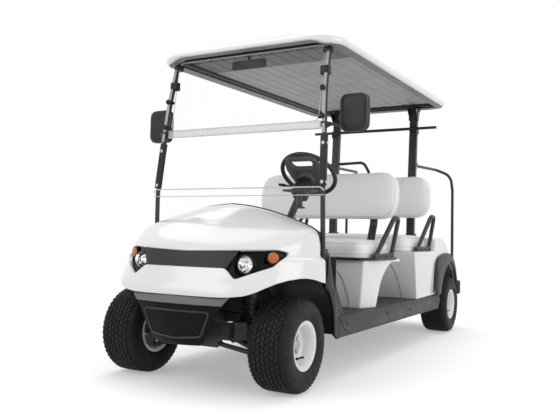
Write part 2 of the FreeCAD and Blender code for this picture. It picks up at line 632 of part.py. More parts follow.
def arch_liners():
    """Curved liners over the front wheels."""
    y0 = RAIL_Y + RAIL_WIDTH / 2 + 6
    y1 = FLOOR_HALF_WIDTH
    x = FRONT_AXLE_X
    flange = box(FOOTWELL_X + SEAT_GAP, x - ARCH_RADIUS + 15, y0, y1, FLOOR_TOP - 12, FLOOR_TOP - 9)
    ring = cylinder((x, y0, AXLE_Z), (0, 1, 0), ARCH_RADIUS, y1 - y0)
    ring = ring.cut(cylinder((x, y0 - 1, AXLE_Z), (0, 1, 0), ARCH_RADIUS - 3, y1))
    keep = side_prism([(x, AXLE_Z), (x - 600, AXLE_Z + 30), (x - 600, 900), (x + 330, 900)], -700, 700)
    plan = plan_prism([(x - 500, 0), (x - 500, y1), (x - 60, y1), (x + 30, y1 - 15), (x + 165, y1 - 123),
                       (x + 200, y1 - 243), (x + 200, 0)], 0, 900)
    front = ring.common(keep).common(plan).fuse(flange).removeSplitter()
    radius = REAR_ARCH_RADIUS - SEAT_GAP
    rear_ring = cylinder((REAR_AXLE_X, REAR_ARCH_INNER_Y, AXLE_Z), (0, 1, 0), radius, 200)
    hollow = cylinder((REAR_AXLE_X, REAR_ARCH_INNER_Y + 3, AXLE_Z), (0, 1, 0), radius - 3, 300)
    rear_ring = rear_ring.cut(hollow)
    rear_ring = rear_ring.common(plan_prism(tail_plan(-PANEL - SEAT_GAP), FLOOR_TOP + 20, 900))
    return Part.makeCompound([front, mirrored(front), rear_ring, mirrored(rear_ring)])


def dashboard():
    """Dark instrument panel that closes the back of the cowl."""
    x = COWL_REAR_X
    half = POST_Y - POST_RADIUS - 1
    block = cowl_form(PANEL + SEAT_GAP, x - 120).common(box(x - 60, x + 30, -half, half, DASH_LOW, 1000))
    block = block.cut(box(x - 2 * SEAT_GAP - PANEL, x, -700, 700, 768, 1000))
    shelf = box(FOOTWELL_X - 10, x - 60, -470, 470, DASH_LOW, 735)
    centre = Vector(STEERING_WHEEL_X, STEERING_WHEEL_Y, STEERING_WHEEL_Z)
    axis = steering_axis()
    hole = cylinder(tuple(centre - axis * 600), tuple(axis), COLUMN_RADIUS + SEAT_GAP, 500)
    return fuse([block, shelf]).cut(hole)


def steering_axis():
    """Direction of the steering shaft, up towards the driver."""
    tilt = math.radians(WHEEL_TILT)
    return Vector(-math.sin(tilt), 0, math.cos(tilt))


def steering_column():
    """Fixed column tube with its switch shroud, and the steering gear's housing on the crossmember."""
    centre = Vector(STEERING_WHEEL_X, STEERING_WHEEL_Y, STEERING_WHEEL_Z)
    axis = steering_axis()
    top = centre - axis * 52
    length = 425.0
    tube = cylinder(tuple(top - axis * length), tuple(axis), COLUMN_RADIUS, length)
    shroud = cylinder(tuple(top - axis * 130), tuple(axis), 34, 128)
    bore = cylinder(tuple(top - axis * 160), tuple(axis), SPINDLE_RADIUS - 4 + RUNNING_GAP, 200)
    column = fuse([tube, shroud]).cut(bore)
    x = FRONT_AXLE_X - STEERING_ARM
    half = GEAR_HALF_LENGTH
    housing = cylinder((x, -half, RACK_Z), (0, 1, 0), GEAR_RADIUS, 2 * half)
    bore_radius = TIE_ROD_RADIUS + RUNNING_GAP
    housing = housing.cut(cylinder((x, -half - 10, RACK_Z), (0, 1, 0), bore_radius, 2 * half + 20))
    return Part.makeCompound([column, housing])


def steering_wheel():
    """Ring, hub, spokes and shaft."""
    centre = Vector(STEERING_WHEEL_X, STEERING_WHEEL_Y, STEERING_WHEEL_Z)
    axis = steering_axis()
    reach = STEERING_WHEEL_RADIUS - STEERING_GRIP
    ring = Part.makeTorus(reach, STEERING_GRIP, centre, axis)
    forward = Vector(axis.z, 0, -axis.x)
    hub = cylinder(tuple(centre - axis * 50), tuple(axis), 52, 50)
    shaft = cylinder(tuple(centre - axis * 180), tuple(axis), SPINDLE_RADIUS - 4, 140)
    spokes = []
    for angle in (180, 0, 250, 290):
        out = Vector(0, 1, 0) * math.cos(math.radians(angle)) + forward * math.sin(math.radians(angle))
        spokes.append(cylinder(tuple(centre - axis * 18), tuple(out), 11, reach))
    return fuse([ring, hub, shaft] + spokes)


def pedals():
    """Brake and accelerator pads, each on a stalk from the toe board."""
    foot = Vector(FOOTWELL_X - TOE_LENGTH, 0, FLOOR_TOP)
    slope = Vector(TOE_LENGTH - 6, 0, TOE_RISE).normalize()
    out = Vector(-slope.z, 0, slope.x)
    pads = []
    for y, width in ((300, 60), (180, 86)):
        low = foot + slope * 50 + out * 40
        high = foot + slope * 130 + out * 40
        pad_outline = [(p.x, p.z) for p in (low, high, high + out * 8, low + out * 8)]
        pad = side_prism(pad_outline, y - width / 2, y + width / 2)
        near = foot + slope * 84 + out * SEAT_GAP
        far = foot + slope * 96 + out * SEAT_GAP
        stalk = side_prism([(p.x, p.z) for p in (near, far, far + out * 42, near + out * 42)], y - 8, y + 8)
        pads.append(pad.fuse(stalk).removeSplitter())
    return Part.makeCompound(pads)


def front_post_at(z):
    """Middle of the left front post at a height."""
    for (x0, y0, z0), (x1, y1, z1) in zip(FRONT_POST_PATH, FRONT_POST_PATH[1:]):
        if z <= z1:
            share = (z - z0) / (z1 - z0)
            return FRONT_AXLE_X + x0 + (x1 - x0) * share, y0 + (y1 - y0) * share
    return FRONT_AXLE_X + x1, y1


def front_posts():
    """Round posts whose upper ends are notched to fit the roof's front hoop."""
    points = [(FRONT_AXLE_X + x, y, z) for x, y, z in FRONT_POST_PATH]
    post = round_tube(points, POST_RADIUS, 90)
    foot = box(FRONT_AXLE_X - 245, FRONT_AXLE_X - 198, 528, FLOOR_HALF_WIDTH, 540, 690)
    return both_sides(post.fuse(foot).removeSplitter().cut(roof_frame(SEAT_GAP)))


def pane(outline, x_low, z_low, x_high, z_high, thick):
    """Flat pane that leans back: outline in (y, z), placed on the line between two side-view points."""
    slope = (x_high - x_low) / (z_high - z_low)
    corners = [Vector(FRONT_AXLE_X + x_low + slope * (z - z_low), y, z) for y, z in outline]
    face = Part.Face(Part.makePolygon(corners + corners[:1]))
    return face.extrude(Vector(thick, 0, 0))


def windscreens():
    """Lower pane between the cowl and the posts' front faces, and the upper pane between the posts."""
    x_low = COWL_REAR_X - FRONT_AXLE_X - SEAT_GAP - PANEL
    lower = pane(LOWER_PANE_OUTLINE, x_low, 770, x_low, 1001, PANEL)
    half = UPPER_PANE_HALF_WIDTH
    low, high = PANE_BAR_HIGH + SEAT_GAP, 1770
    upper = pane([(-half, low), (half, low), (half, high), (-half, high)], -224, 1318, -298, 1785, PANEL)
    return Part.makeCompound([lower, upper])


def windscreen_bars():
    """Bar under the upper pane, and the knobs that hold the pane to the posts."""
    bar_x, bar_y = front_post_at(PANE_BAR_HIGH)
    half = bar_y - POST_RADIUS - 0.5
    pieces = [box(bar_x - 8, bar_x + 8, -half, half, PANE_BAR_LOW, PANE_BAR_HIGH)]
    for z in (1371, 1522):
        x, y = front_post_at(z)
        first = UPPER_PANE_HALF_WIDTH + SEAT_GAP
        for side in (-1, 1):
            pieces.append(cylinder((x, side * first, z), (0, side, 0), 8, y - POST_RADIUS - 0.9 - first))
    return Part.makeCompound(pieces)


def mirrors():
    """A mirror on an arm at each front post, and one under the roof."""
    x = FRONT_AXLE_X - 330
    head = rounded_block(x - 22, x + 22, 556, 716, 1304, 1504, 35, 8)
    post_x, post_y = front_post_at(1330)
    start = post_y + POST_RADIUS + 0.9
    arm_path = [(post_x, start, 1330), (post_x, start + 26, 1330), (x, 592, 1334), (x, 600, 1350)]
    arm = round_tube(arm_path, 9, 30)
    side = head.fuse(arm)
    inner = rounded_block(INNER_MIRROR_X - 9, INNER_MIRROR_X + 9, -125, 97, 1697, 1748, 12, 4)
    rise = (ROOF_FRONT_X - INNER_MIRROR_X) * math.tan(math.radians(ROOF_PITCH))
    stem_top = ROOF_RIM_Z + ROOF_TUBE_LIFT - ROOF_TUBE_RADIUS - SEAT_GAP + rise
    stem = cylinder((INNER_MIRROR_X, -14, 1740), (0, 0, 1), 8, stem_top - 1740)
    return Part.makeCompound([side, mirrored(side), inner.fuse(stem)])


def roof_ring(end_inset, side_inset, z, corner):
    """Rounded rectangle of the roof's plan, moved inward at its ends and sides, at one height."""
    x0 = ROOF_REAR_X + end_inset
    x1 = ROOF_FRONT_X - end_inset
    w = ROOF_HALF_WIDTH - side_inset
    turn = corner * (1 - math.sqrt(0.5))
    edges = [
        Part.LineSegment(Vector(x0 + corner, -w, z), Vector(x1 - corner, -w, z)),
        Part.Arc(Vector(x1 - corner, -w, z), Vector(x1 - turn, -w + turn, z), Vector(x1, -w + corner, z)),
        Part.LineSegment(Vector(x1, -w + corner, z), Vector(x1, w - corner, z)),
        Part.Arc(Vector(x1, w - corner, z), Vector(x1 - turn, w - turn, z), Vector(x1 - corner, w, z)),
        Part.LineSegment(Vector(x1 - corner, w, z), Vector(x0 + corner, w, z)),
        Part.Arc(Vector(x0 + corner, w, z), Vector(x0 + turn, w - turn, z), Vector(x0, w - corner, z)),
        Part.LineSegment(Vector(x0, w - corner, z), Vector(x0, -w + corner, z)),
        Part.Arc(Vector(x0, -w + corner, z), Vector(x0 + turn, -w + turn, z), Vector(x0 + corner, -w, z)),
    ]
    return Part.Wire([e.toShape() for e in edges])


def pitched(shape):
    shape.rotate(Vector(ROOF_FRONT_X, 0, ROOF_RIM_Z), Vector(0, 1, 0), ROOF_PITCH)
    return shape


def roof_shell():
    """Moulded roof: rounded rim, crowned top, a hollow underside and a front edge that arches up."""
    rise = ROOF_CREST_Z - ROOF_RIM_Z
    rim = ROOF_RIM_WIDTH
    outside = [(8, 8, 0), (0, 0, 0.08), (0, 0, 0.3), (6, 14, 0.4), (14, 60, 0.47), (24, 140, 0.6),
               (40, 240, 0.76),
               (90, 360, 0.9), (300, 470, 1.0)]
    inside = [(rim, rim, -0.01), (rim, rim, 0.4), (100, 160, 0.52), (130, 260, 0.68), (200, 380, 0.82)]
    outer = Part.makeLoft([roof_ring(end, side, ROOF_RIM_Z + rise * share, max(ROOF_CORNER - end / 2, 25.0))
                           for end, side, share in outside], True, True)
    inner = Part.makeLoft([roof_ring(end, side, ROOF_RIM_Z + rise * share, ROOF_INNER_CORNER)
                           for end, side, share in inside], True, True)
    foot, top = ROOF_HALF_WIDTH - rim, ROOF_HALF_WIDTH - 2 * rim
    arch = front_prism([(-foot, ROOF_RIM_Z - 1), (-top, ROOF_RIM_Z + ROOF_FRONT_ARCH),
                        (top, ROOF_RIM_Z + ROOF_FRONT_ARCH), (foot, ROOF_RIM_Z - 1)],
                       ROOF_FRONT_X - rim - 1, ROOF_FRONT_X + 1)
    return pitched(outer.cut([inner, arch]))


def roof_liner():
    """Ceiling panel inside the roof's rim."""
    inset = ROOF_RIM_WIDTH + SEAT_GAP
    low = Part.Face(roof_ring(inset, inset, ROOF_RIM_Z + 40, ROOF_INNER_CORNER))
    return pitched(low.extrude(Vector(0, 0, 5)))


def roof_frame(grow=0.0):
    """Tubes under the ceiling: a rail along each side, a hoop at the front and one at the rear."""
    z = ROOF_RIM_Z + ROOF_TUBE_LIFT
    front = INNER_MIRROR_X
    rear = REAR_POST_X - 42
    y = ROOF_HALF_WIDTH - ROOF_RIM_WIDTH - ROOF_TUBE_RADIUS - SEAT_GAP
    rail = cylinder((rear, y, z), (1, 0, 0), ROOF_TUBE_RADIUS + grow, front - rear)
    hoops = [cylinder((x, -y, z), (0, 1, 0), ROOF_TUBE_RADIUS + grow, 2 * y) for x in (front, rear)]
    return pitched(fuse([rail, mirrored(rail)] + hoops))


def rear_post_x(z):
    """Middle of the rear posts at a height; they lean back."""
    low, middle, high = REAR_POST_STATIONS
    if z < middle[1]:
        return REAR_POST_X + low[0] + (middle[0] - low[0]) * (z - low[1]) / (middle[1] - low[1])
    return REAR_POST_X + middle[0] + (high[0] - middle[0]) * (z - middle[1]) / (high[1] - middle[1])


def rear_posts():
    """Flat posts from the frame to the roof's rear edge."""
    points = [(REAR_POST_X + dx, REAR_POST_Y, z) for dx, z in REAR_POST_STATIONS]
    return both_sides(flat_bar([(points[0][0], REAR_POST_Y, REAR_POST_FOOT)] + points, REAR_POST_DEPTH,
                               REAR_POST_WIDTH, 900))


def rear_tubes():
    """Crossbar on the rear posts, a rail at each rear corner and the right-hand grab hoop."""
    radius = 12.0
    front_face = rear_post_x(CROSSBAR_Z) + REAR_POST_DEPTH / 2
    bar_x = front_face + radius + SEAT_GAP
    inner = CROSSBAR_HALF_LENGTH - CROSSBAR_END_LENGTH
    shoulder = 4 * (radius - CROSSBAR_END_RADIUS)
    thick_end = inner - shoulder
    end = CROSSBAR_HALF_LENGTH
    bar = cylinder((bar_x, -end, CROSSBAR_Z), (0, 1, 0), CROSSBAR_END_RADIUS, 2 * end)
    bar = bar.fuse(cylinder((bar_x, -thick_end, CROSSBAR_Z), (0, 1, 0), radius, 2 * thick_end))
    for side in (-1, 1):
        cone_foot = Vector(bar_x, side * thick_end, CROSSBAR_Z)
        cone = Part.makeCone(radius, CROSSBAR_END_RADIUS, shoulder, cone_foot, Vector(0, side, 0))
        bar = bar.fuse(cone)
    bar = bar.removeSplitter()
    start = rear_post_x(1352) - REAR_POST_DEPTH / 2 - 1.5
    x = FRONT_AXLE_X
    rail_path = [(start, REAR_POST_Y, 1352), (x - 2900, 372, 1372), (x - 2950, 485, 1322),
                 (x - 2956, 500, 1190), (x - 2958, 505, 425)]
    rail = round_tube(rail_path, radius, 110)
    rail = rail.cut(side_prism(rear_body_outline(-SEAT_GAP), 0, BODY_HALF_WIDTH))
    back = rear_post_x(1388) - REAR_POST_DEPTH / 2 - 1
    hoop = round_tube([(back, -REAR_POST_Y, 1388), (back - 50, -REAR_POST_Y, 1388), (back - 50, -110, 1396),
                       (back - 50, -60, 1310), (back - 8, -60, 1190)], radius, 60)
    return Part.makeCompound([bar, rail, mirrored(rail), hoop])


def front_seat_base():
    """Hollow pod under the front seat, cut back in an arc behind."""
    x = FRONT_SEAT_X
    top = FRONT_SEAT_TOP

    def form(inset, lid, back):
        front_low = x + 10 - inset
        front_top = x - 18 - inset
        outline = [Vector(front_low, 0, FLOOR_TOP + SEAT_GAP), Vector(front_top, 0, top + lid),
                   Vector(back, 0, top + lid), Vector(back, 0, top - 26 + inset),
                   Vector(x - 400 + inset, 0, top - 26 + inset)]
        edges = [Part.LineSegment(a, b).toShape() for a, b in zip(outline, outline[1:])]
        foot = Vector(x - 130 + inset, 0, FLOOR_TOP + SEAT_GAP)
        middle = Vector(x - 215 + inset, 0, top - 110 + inset * 0.5)
        edges.append(Part.Arc(outline[-1], middle, foot).toShape())
        edges.append(Part.LineSegment(foot, outline[0]).toShape())
        width = BODY_HALF_WIDTH - 14 - inset
        face = Part.Face(Part.Wire(edges))
        face.translate(Vector(0, -width, 0))
        half_plan = [(x + 20, 0), (x + 20, width - 60), (x - 60, width - 18), (x - 160, width),
                     (x - 700, width), (x - 700, 0)]
        plan = plan_prism(half_plan + [(px, -py) for px, py in reversed(half_plan[1:-1])], 300, 700)
        return face.extrude(Vector(0, 2 * width, 0)).common(plan)

    shelf = 60.0
    back = x - SEAT_DEPTH - 40
    return form(0, 0, back).cut(form(PANEL, 10, back + shelf))


def rear_body_outline(inset):
    """Side view of the rear body: seat box, step up to the deck, tail that falls to the bumper."""
    x = REAR_SEAT_X
    tail = REAR_AXLE_X
    low = FLOOR_TOP + SEAT_GAP
    seat_box = [(x - 38 - inset, low), (x + 27 - inset, REAR_SEAT_TOP - inset)]
    deck = [(tail + 470 + inset, REAR_SEAT_TOP - inset), (tail + 452 + inset, 768 - inset),
            (tail + 290, 776 - inset), (tail + 160, 752 - inset), (tail + 40, 692 - inset)]
    back = [(tail - 90, 592 - inset), (tail - 200, 536 - inset), (tail - 290 + inset / 2, 484 - inset),
            (tail - 345 + inset, 425), (tail - TAIL_LENGTH + inset, 350), (tail - TAIL_LENGTH + inset, low)]
    return seat_box + deck + back


def tail_plan(extra):
    """Half of the body's plan, which narrows towards the tail, grown outward by the extra."""
    w = BODY_HALF_WIDTH + extra
    return [(REAR_AXLE_X + 1200, 0), (REAR_AXLE_X + 1200, w), (REAR_AXLE_X + 150, w),
            (REAR_AXLE_X - 420, w - TAIL_TAPER), (REAR_AXLE_X - 420, 0)]


def rear_body():
    """Hollow rear body with its wheel arches."""
    w = BODY_HALF_WIDTH
    plan = plan_prism(tail_plan(0), 0, 2000)
    inner_plan = plan_prism(tail_plan(-PANEL), 0, 2000)
    outer = side_prism(rear_body_outline(0), 0, w).common(plan)
    inner = side_prism(rear_body_outline(PANEL), -1, w).common(inner_plan.fuse(mirrored(inner_plan)))
    arch = cylinder((REAR_AXLE_X, REAR_ARCH_INNER_Y, AXLE_Z), (0, 1, 0), REAR_ARCH_RADIUS, w)
    slot = REAR_POST_WIDTH / 2 + 1
    post = box(REAR_POST_X - 30, REAR_POST_X + 40, REAR_POST_Y - slot, REAR_POST_Y + slot, 700, 900)
    half = outer.cut([inner, arch, post])
    return half.fuse(mirrored(half)).removeSplitter()


def rear_trim():
    """Flares around the rear wheel arches and the bumper block across the tail."""
    x = REAR_AXLE_X
    panel = side_prism([(x + dx, z) for dx, z in FLARE_OUTLINE], 400, 700)
    panel = panel.cut(cylinder((x, 399, AXLE_Z), (0, 1, 0), REAR_ARCH_RADIUS + 1, 302))
    skin = plan_prism(tail_plan(FLARE_PROUD), 300, 900).cut(plan_prism(tail_plan(SEAT_GAP), 299, 901))
    flare = panel.common(skin)
    half = BODY_HALF_WIDTH
    bumper = box(x - TAIL_LENGTH - 46, x - TAIL_LENGTH - SEAT_GAP, -half, half, 285, 405)
    return Part.makeCompound([flare, mirrored(flare), bumper])


def cushion(x_front, z_low):
    """Seat cushion: a pad with a round front and soft edges."""
    half = CUSHION_HALF_WIDTH
    block = box(x_front - SEAT_DEPTH, x_front, -half, half, z_low, z_low + CUSHION_THICK)
    upright = [e for e in block.Edges if e.BoundBox.ZLength > 50]
    block = block.makeFillet(60, upright)
    top = [e for e in block.Edges if e.BoundBox.ZMin > z_low + CUSHION_THICK - 0.01]
    return block.makeFillet(35, top)


def backrest(x_front, z_low, z_high, half_width, lean):
    """Padded back that leans about its lower front edge."""
    pad = rounded_block(x_front - BACKREST_THICK, x_front, -half_width, half_width, z_low, z_high, 95, 28)
    pad.rotate(Vector(x_front, 0, z_low), Vector(0, 1, 0), -lean)
    return pad


def backrests():
    """Front backrest on its own brackets, rear one on the roof's rear posts."""
    rear_x = rear_post_x(REAR_BACKREST_LOW) + REAR_POST_DEPTH / 2 + SEAT_GAP + BACKREST_THICK
    half = CUSHION_HALF_WIDTH
    front = backrest(FRONT_BACKREST_X, FRONT_BACKREST_LOW, FRONT_BACKREST_HIGH, half + 18, BACKREST_LEAN)
    rear = backrest(rear_x, REAR_BACKREST_LOW, REAR_BACKREST_HIGH, half, REAR_BACKREST_LEAN)
    return Part.makeCompound([front, rear])


def backrest_brackets():
    """Flat bars that rise behind the front cushion and carry the front backrest."""
    angle = math.radians(BACKREST_LEAN)
    thick = 10.0

    def bar_x(z):
        behind = (BACKREST_THICK + thick / 2 + 2 * SEAT_GAP) / math.cos(angle)
        return FRONT_BACKREST_X - behind - (z - FRONT_BACKREST_LOW) * math.tan(angle)

    foot = FRONT_SEAT_X - SEAT_DEPTH - 12
    bar = flat_bar([(foot, 345, FRONT_SEAT_TOP + SEAT_GAP), (foot - 8, 345, 735), (bar_x(850), 345, 850),
                    (bar_x(1080), 345, 1080)], thick, 52, 60)
    return both_sides(bar)


def armrest(x_front, z_base):
    """Closed loop that leans back, on a foot along the edge of the seat."""
    y = BODY_HALF_WIDTH - 28
    foot_z = z_base + 22
    loop_path = [(x_front - 60, y, foot_z), (x_front - 372, y + 13, z_base + 268),
                 (x_front - 452, y + 13, z_base + 262), (x_front - 352, y, foot_z)]
    loop = round_tube(loop_path, ARMREST_RADIUS, 22)
    foot = box(x_front - 380, x_front - 32, y - 11, y + 14, z_base + SEAT_GAP, z_base + 34)
    return fuse([loop, foot])


def armrests():
    """A pair of armrests beside each seat."""
    arms = [armrest(FRONT_SEAT_X - 60, FRONT_SEAT_TOP), armrest(REAR_SEAT_X - 60, REAR_SEAT_TOP)]
    return Part.makeCompound(arms + [mirrored(a) for a in arms])


def export(shape, node):
    shape.exportStep("parts/" + node + ".step")


def main():
    os.makedirs("parts", exist_ok=True)
    pieces = {
        "chassis_frame": chassis_frame(),
        "front_arms": front_arms(),
        "springs": springs(),
        "rear_axle": rear_axle(),
        "battery_pack": battery_pack(),
        "floor_pan": floor_pan(),
        "side_covers": side_covers(),
        "cowl": cowl(),
        "lamp_band": lamp_band(),
        "headlamps": headlamps(),
        "turn_lamps": turn_lamps(),
        "front_bumper": front_bumper(),
        "arch_liners": arch_liners(),
        "dashboard": dashboard(),
        "steering_column": steering_column(),
        "steering_wheel": steering_wheel(),
        "pedals": pedals(),
        "front_posts": front_posts(),
        "windscreens": windscreens(),
        "windscreen_bars": windscreen_bars(),
        "mirrors": mirrors(),
        "roof_shell": roof_shell(),
        "roof_liner": roof_liner(),
        "roof_frame": roof_frame(),
        "rear_posts": rear_posts(),
        "rear_tubes": rear_tubes(),
        "front_seat_base": front_seat_base(),
        "rear_body": rear_body(),
        "rear_trim": rear_trim(),
        "front_cushion": cushion(FRONT_SEAT_X + 12, FRONT_SEAT_TOP + SEAT_GAP),
        "rear_cushion": cushion(REAR_SEAT_X + 45, REAR_SEAT_TOP + SEAT_GAP),
        "backrests": backrests(),
        "backrest_brackets": backrest_brackets(),
        "armrests": armrests(),
        "knuckle_left": knuckle(),
        "knuckle_right": mirrored(knuckle()),
        "tie_rods": tie_rods(),
    }
    places = {"front": (FRONT_AXLE_X, FRONT_HALF_TRACK), "rear": (REAR_AXLE_X, REAR_HALF_TRACK)}
    for end, (x, half_track) in places.items():
        for side, sign in (("left", 1), ("right", -1)):
            pieces["tyre_" + end + "_" + side] = tyre(x, sign * half_track, sign)
            pieces["rim_" + end + "_" + side] = rim(x, sign * half_track, sign)
    for node, shape in pieces.items():
        export(shape, node)


main()
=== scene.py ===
import json
import math

import bmesh
import bpy
from mathutils import Matrix, Vector
from mathutils.geometry import delaunay_2d_cdt


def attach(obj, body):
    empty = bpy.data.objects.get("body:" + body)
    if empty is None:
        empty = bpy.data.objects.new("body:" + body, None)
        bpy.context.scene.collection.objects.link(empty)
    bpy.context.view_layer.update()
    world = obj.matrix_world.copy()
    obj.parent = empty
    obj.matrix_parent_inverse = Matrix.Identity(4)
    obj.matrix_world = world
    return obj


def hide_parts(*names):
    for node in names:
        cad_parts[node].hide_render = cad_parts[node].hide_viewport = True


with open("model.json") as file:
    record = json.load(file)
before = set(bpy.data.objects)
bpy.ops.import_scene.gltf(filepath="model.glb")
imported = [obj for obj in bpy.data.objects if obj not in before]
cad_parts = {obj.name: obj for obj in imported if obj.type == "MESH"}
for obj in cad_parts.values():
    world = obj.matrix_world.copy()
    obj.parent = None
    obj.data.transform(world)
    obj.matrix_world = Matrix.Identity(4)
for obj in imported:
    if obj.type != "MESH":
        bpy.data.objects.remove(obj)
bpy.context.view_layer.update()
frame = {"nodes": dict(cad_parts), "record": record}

# Real sizes in metres. X forward, Y to the cart's left, Z up, ground at Z = 0.
FRONT_AXLE = 1.366
REAR_AXLE = -1.274
AXLE_Z = 0.2285
HALF_TRACK = {"front": 0.447, "rear": 0.480}
BODY_HALF_WIDTH = 0.562
FLOOR_TOP = 0.330

# The photograph's camera
CAMERA_AT = (4.18095, 1.92627, 0.74157)
CAMERA_YAW = 208.658
CAMERA_PITCH = 2.419
CAMERA_ROLL = 1.400
FOCAL_PIXELS = 653.145
PHOTO_WIDTH = 560
SENSOR = 36.0


def place_camera():
    yaw = math.radians(CAMERA_YAW)
    pitch = math.radians(CAMERA_PITCH)
    roll = math.radians(CAMERA_ROLL)
    ahead = Vector((math.cos(yaw) * math.cos(pitch), math.sin(yaw) * math.cos(pitch), math.sin(pitch)))
    level = ahead.cross(Vector((0, 0, 1))).normalized()
    upright = level.cross(ahead)
    right = level * math.cos(roll) + upright * math.sin(roll)
    up = upright * math.cos(roll) - level * math.sin(roll)
    turn = Matrix((right, up, -ahead)).transposed().to_4x4()
    data = bpy.data.cameras.new("photo_camera")
    data.sensor_width = SENSOR
    data.lens = FOCAL_PIXELS / PHOTO_WIDTH * SENSOR
    data.clip_end = 100.0
    camera = bpy.data.objects.new("photo_camera", data)
    camera.matrix_world = Matrix.Translation(CAMERA_AT) @ turn
    bpy.context.scene.collection.objects.link(camera)
    bpy.context.scene.camera = camera


# Node helpers

def new_group(name, inputs, outputs):
    """Shader node group with named sockets. A default that is a tuple makes a colour socket."""
    group = bpy.data.node_groups.new(name, "ShaderNodeTree")
    for socket, default in inputs.items():
        kind = "NodeSocketColor" if isinstance(default, tuple) else "NodeSocketFloat"
        made = group.interface.new_socket(name=socket, in_out="INPUT", socket_type=kind)
        made.default_value = default
    for socket, kind in outputs.items():
        group.interface.new_socket(name=socket, in_out="OUTPUT", socket_type="NodeSocket" + kind)
    entry = group.nodes.new("NodeGroupInput")
    leave = group.nodes.new("NodeGroupOutput")
    return group, entry, leave


def add_node(tree, kind, links=None, **settings):
    """Node with its properties set, and its inputs filled with values or joined to other sockets."""
    node = tree.nodes.new(kind)
    for key, value in settings.items():
        setattr(node, key, value)
    for key, value in (links or {}).items():
        socket = node.inputs[key]
        if isinstance(value, bpy.types.NodeSocket):
            tree.links.new(value, socket)
        else:
            socket.default_value = value
    return node


def maths(tree, operation, first, second=0.0):
    return add_node(tree, "ShaderNodeMath", {0: first, 1: second}, operation=operation).outputs[0]


def ramp(tree, value, low, high, to_low=0.0, to_high=1.0):
    """Value moved from one range to another and kept inside it."""
    node = add_node(tree, "ShaderNodeMapRange", {"Value": value, "From Min": low, "From Max": high,
                                                 "To Min": to_low, "To Max": to_high})
    return node.outputs["Result"]


def mixed(tree, share, first, second):
    return add_node(tree, "ShaderNodeMix", {0: share, 6: first, 7: second}, data_type="RGBA").outputs[2]


def noise(tree, scale, detail=3.0, roughness=0.5):
    spot = add_node(tree, "ShaderNodeTexCoord").outputs["Object"]
    node = add_node(tree, "ShaderNodeTexNoise", {"Vector": spot, "Scale": scale, "Detail": detail,
                                                 "Roughness": roughness})
    return node.outputs["Fac"]


def bump(tree, height, strength, distance, **links):
    """Normal that follows a height."""
    links = {"Height": height, "Strength": strength, "Distance": distance, **links}
    return add_node(tree, "ShaderNodeBump", links).outputs["Normal"]


def grey(level, warm=0.0):
    return (level, level, level * (1 - warm), 1.0)


# Effects that several finishes share

def mottle_group():
    """Colour with slow patches and fine specks of the same hue."""
    sockets = {"Base": grey(0.5), "Spread": 0.1, "Scale": 6.0}
    group, entry, leave = new_group("mottle", sockets, {"Color": "Color"})
    slow = noise(group, entry.outputs["Scale"])
    fine = noise(group, maths(group, "MULTIPLY", entry.outputs["Scale"], 23.0))
    both = maths(group, "ADD", maths(group, "MULTIPLY", slow, 0.7), maths(group, "MULTIPLY", fine, 0.3))
    share = maths(group, "MULTIPLY", maths(group, "SUBTRACT", both, 0.5), entry.outputs["Spread"])
    level = maths(group, "ADD", maths(group, "MULTIPLY", share, 2.0), 1.0)
    scaled = add_node(group, "ShaderNodeVectorMath", {0: entry.outputs["Base"]}, operation="SCALE")
    group.links.new(level, scaled.inputs["Scale"])
    group.links.new(scaled.outputs[0], leave.inputs["Color"])
    return group


def wear_group():
    """Mask of worn edges, broken up by noise."""
    group, entry, leave = new_group("edge_wear", {"Amount": 0.5, "Scale": 40.0}, {"Mask": "Float"})
    edge = add_node(group, "ShaderNodeNewGeometry").outputs["Pointiness"]
    sharp = ramp(group, edge, 0.52, 0.60)
    broken = ramp(group, noise(group, entry.outputs["Scale"], 4.0), 0.45, 0.7)
    mask = maths(group, "MULTIPLY", maths(group, "MULTIPLY", sharp, broken), entry.outputs["Amount"])
    group.links.new(mask, leave.inputs["Mask"])
    return group


def dust_group():
    """Mask of road dust, thickest near the ground and on faces that look up."""
    group, entry, leave = new_group("road_dust", {"Amount": 0.3, "Top": 0.5, "Scale": 9.0}, {"Mask": "Float"})
    spot = add_node(group, "ShaderNodeTexCoord").outputs["Object"]
    height = add_node(group, "ShaderNodeSeparateXYZ", {0: spot}).outputs["Z"]
    share = maths(group, "DIVIDE", height, entry.outputs["Top"])
    low = maths(group, "SUBTRACT", 1.0, ramp(group, share, 0.1, 1.0))
    normal = add_node(group, "ShaderNodeNewGeometry").outputs["Normal"]
    up = ramp(group, add_node(group, "ShaderNodeSeparateXYZ", {0: normal}).outputs["Z"], -0.2, 1.0, 0.4, 1.0)
    patches = ramp(group, noise(group, entry.outputs["Scale"], 5.0, 0.6), 0.35, 0.7)
    mask = maths(group, "MULTIPLY", maths(group, "MULTIPLY", low, up), patches)
    group.links.new(maths(group, "MULTIPLY", mask, entry.outputs["Amount"]), leave.inputs["Mask"])
    return group


def grain_group():
    """Moulded grain: fine cells with a soft floor between them."""
    group, entry, leave = new_group("moulded_grain", {"Scale": 900.0, "Depth": 0.2}, {"Normal": "Vector"})
    spot = add_node(group, "ShaderNodeTexCoord").outputs["Object"]
    cells = add_node(group, "ShaderNodeTexVoronoi", {"Vector": spot, "Scale": entry.outputs["Scale"]},
                     feature="SMOOTH_F1").outputs["Distance"]
    soft = noise(group, maths(group, "MULTIPLY", entry.outputs["Scale"], 0.6))
    height = maths(group, "ADD", cells, maths(group, "MULTIPLY", soft, 0.5))
    group.links.new(bump(group, height, entry.outputs["Depth"], 0.0004), leave.inputs["Normal"])
    return group


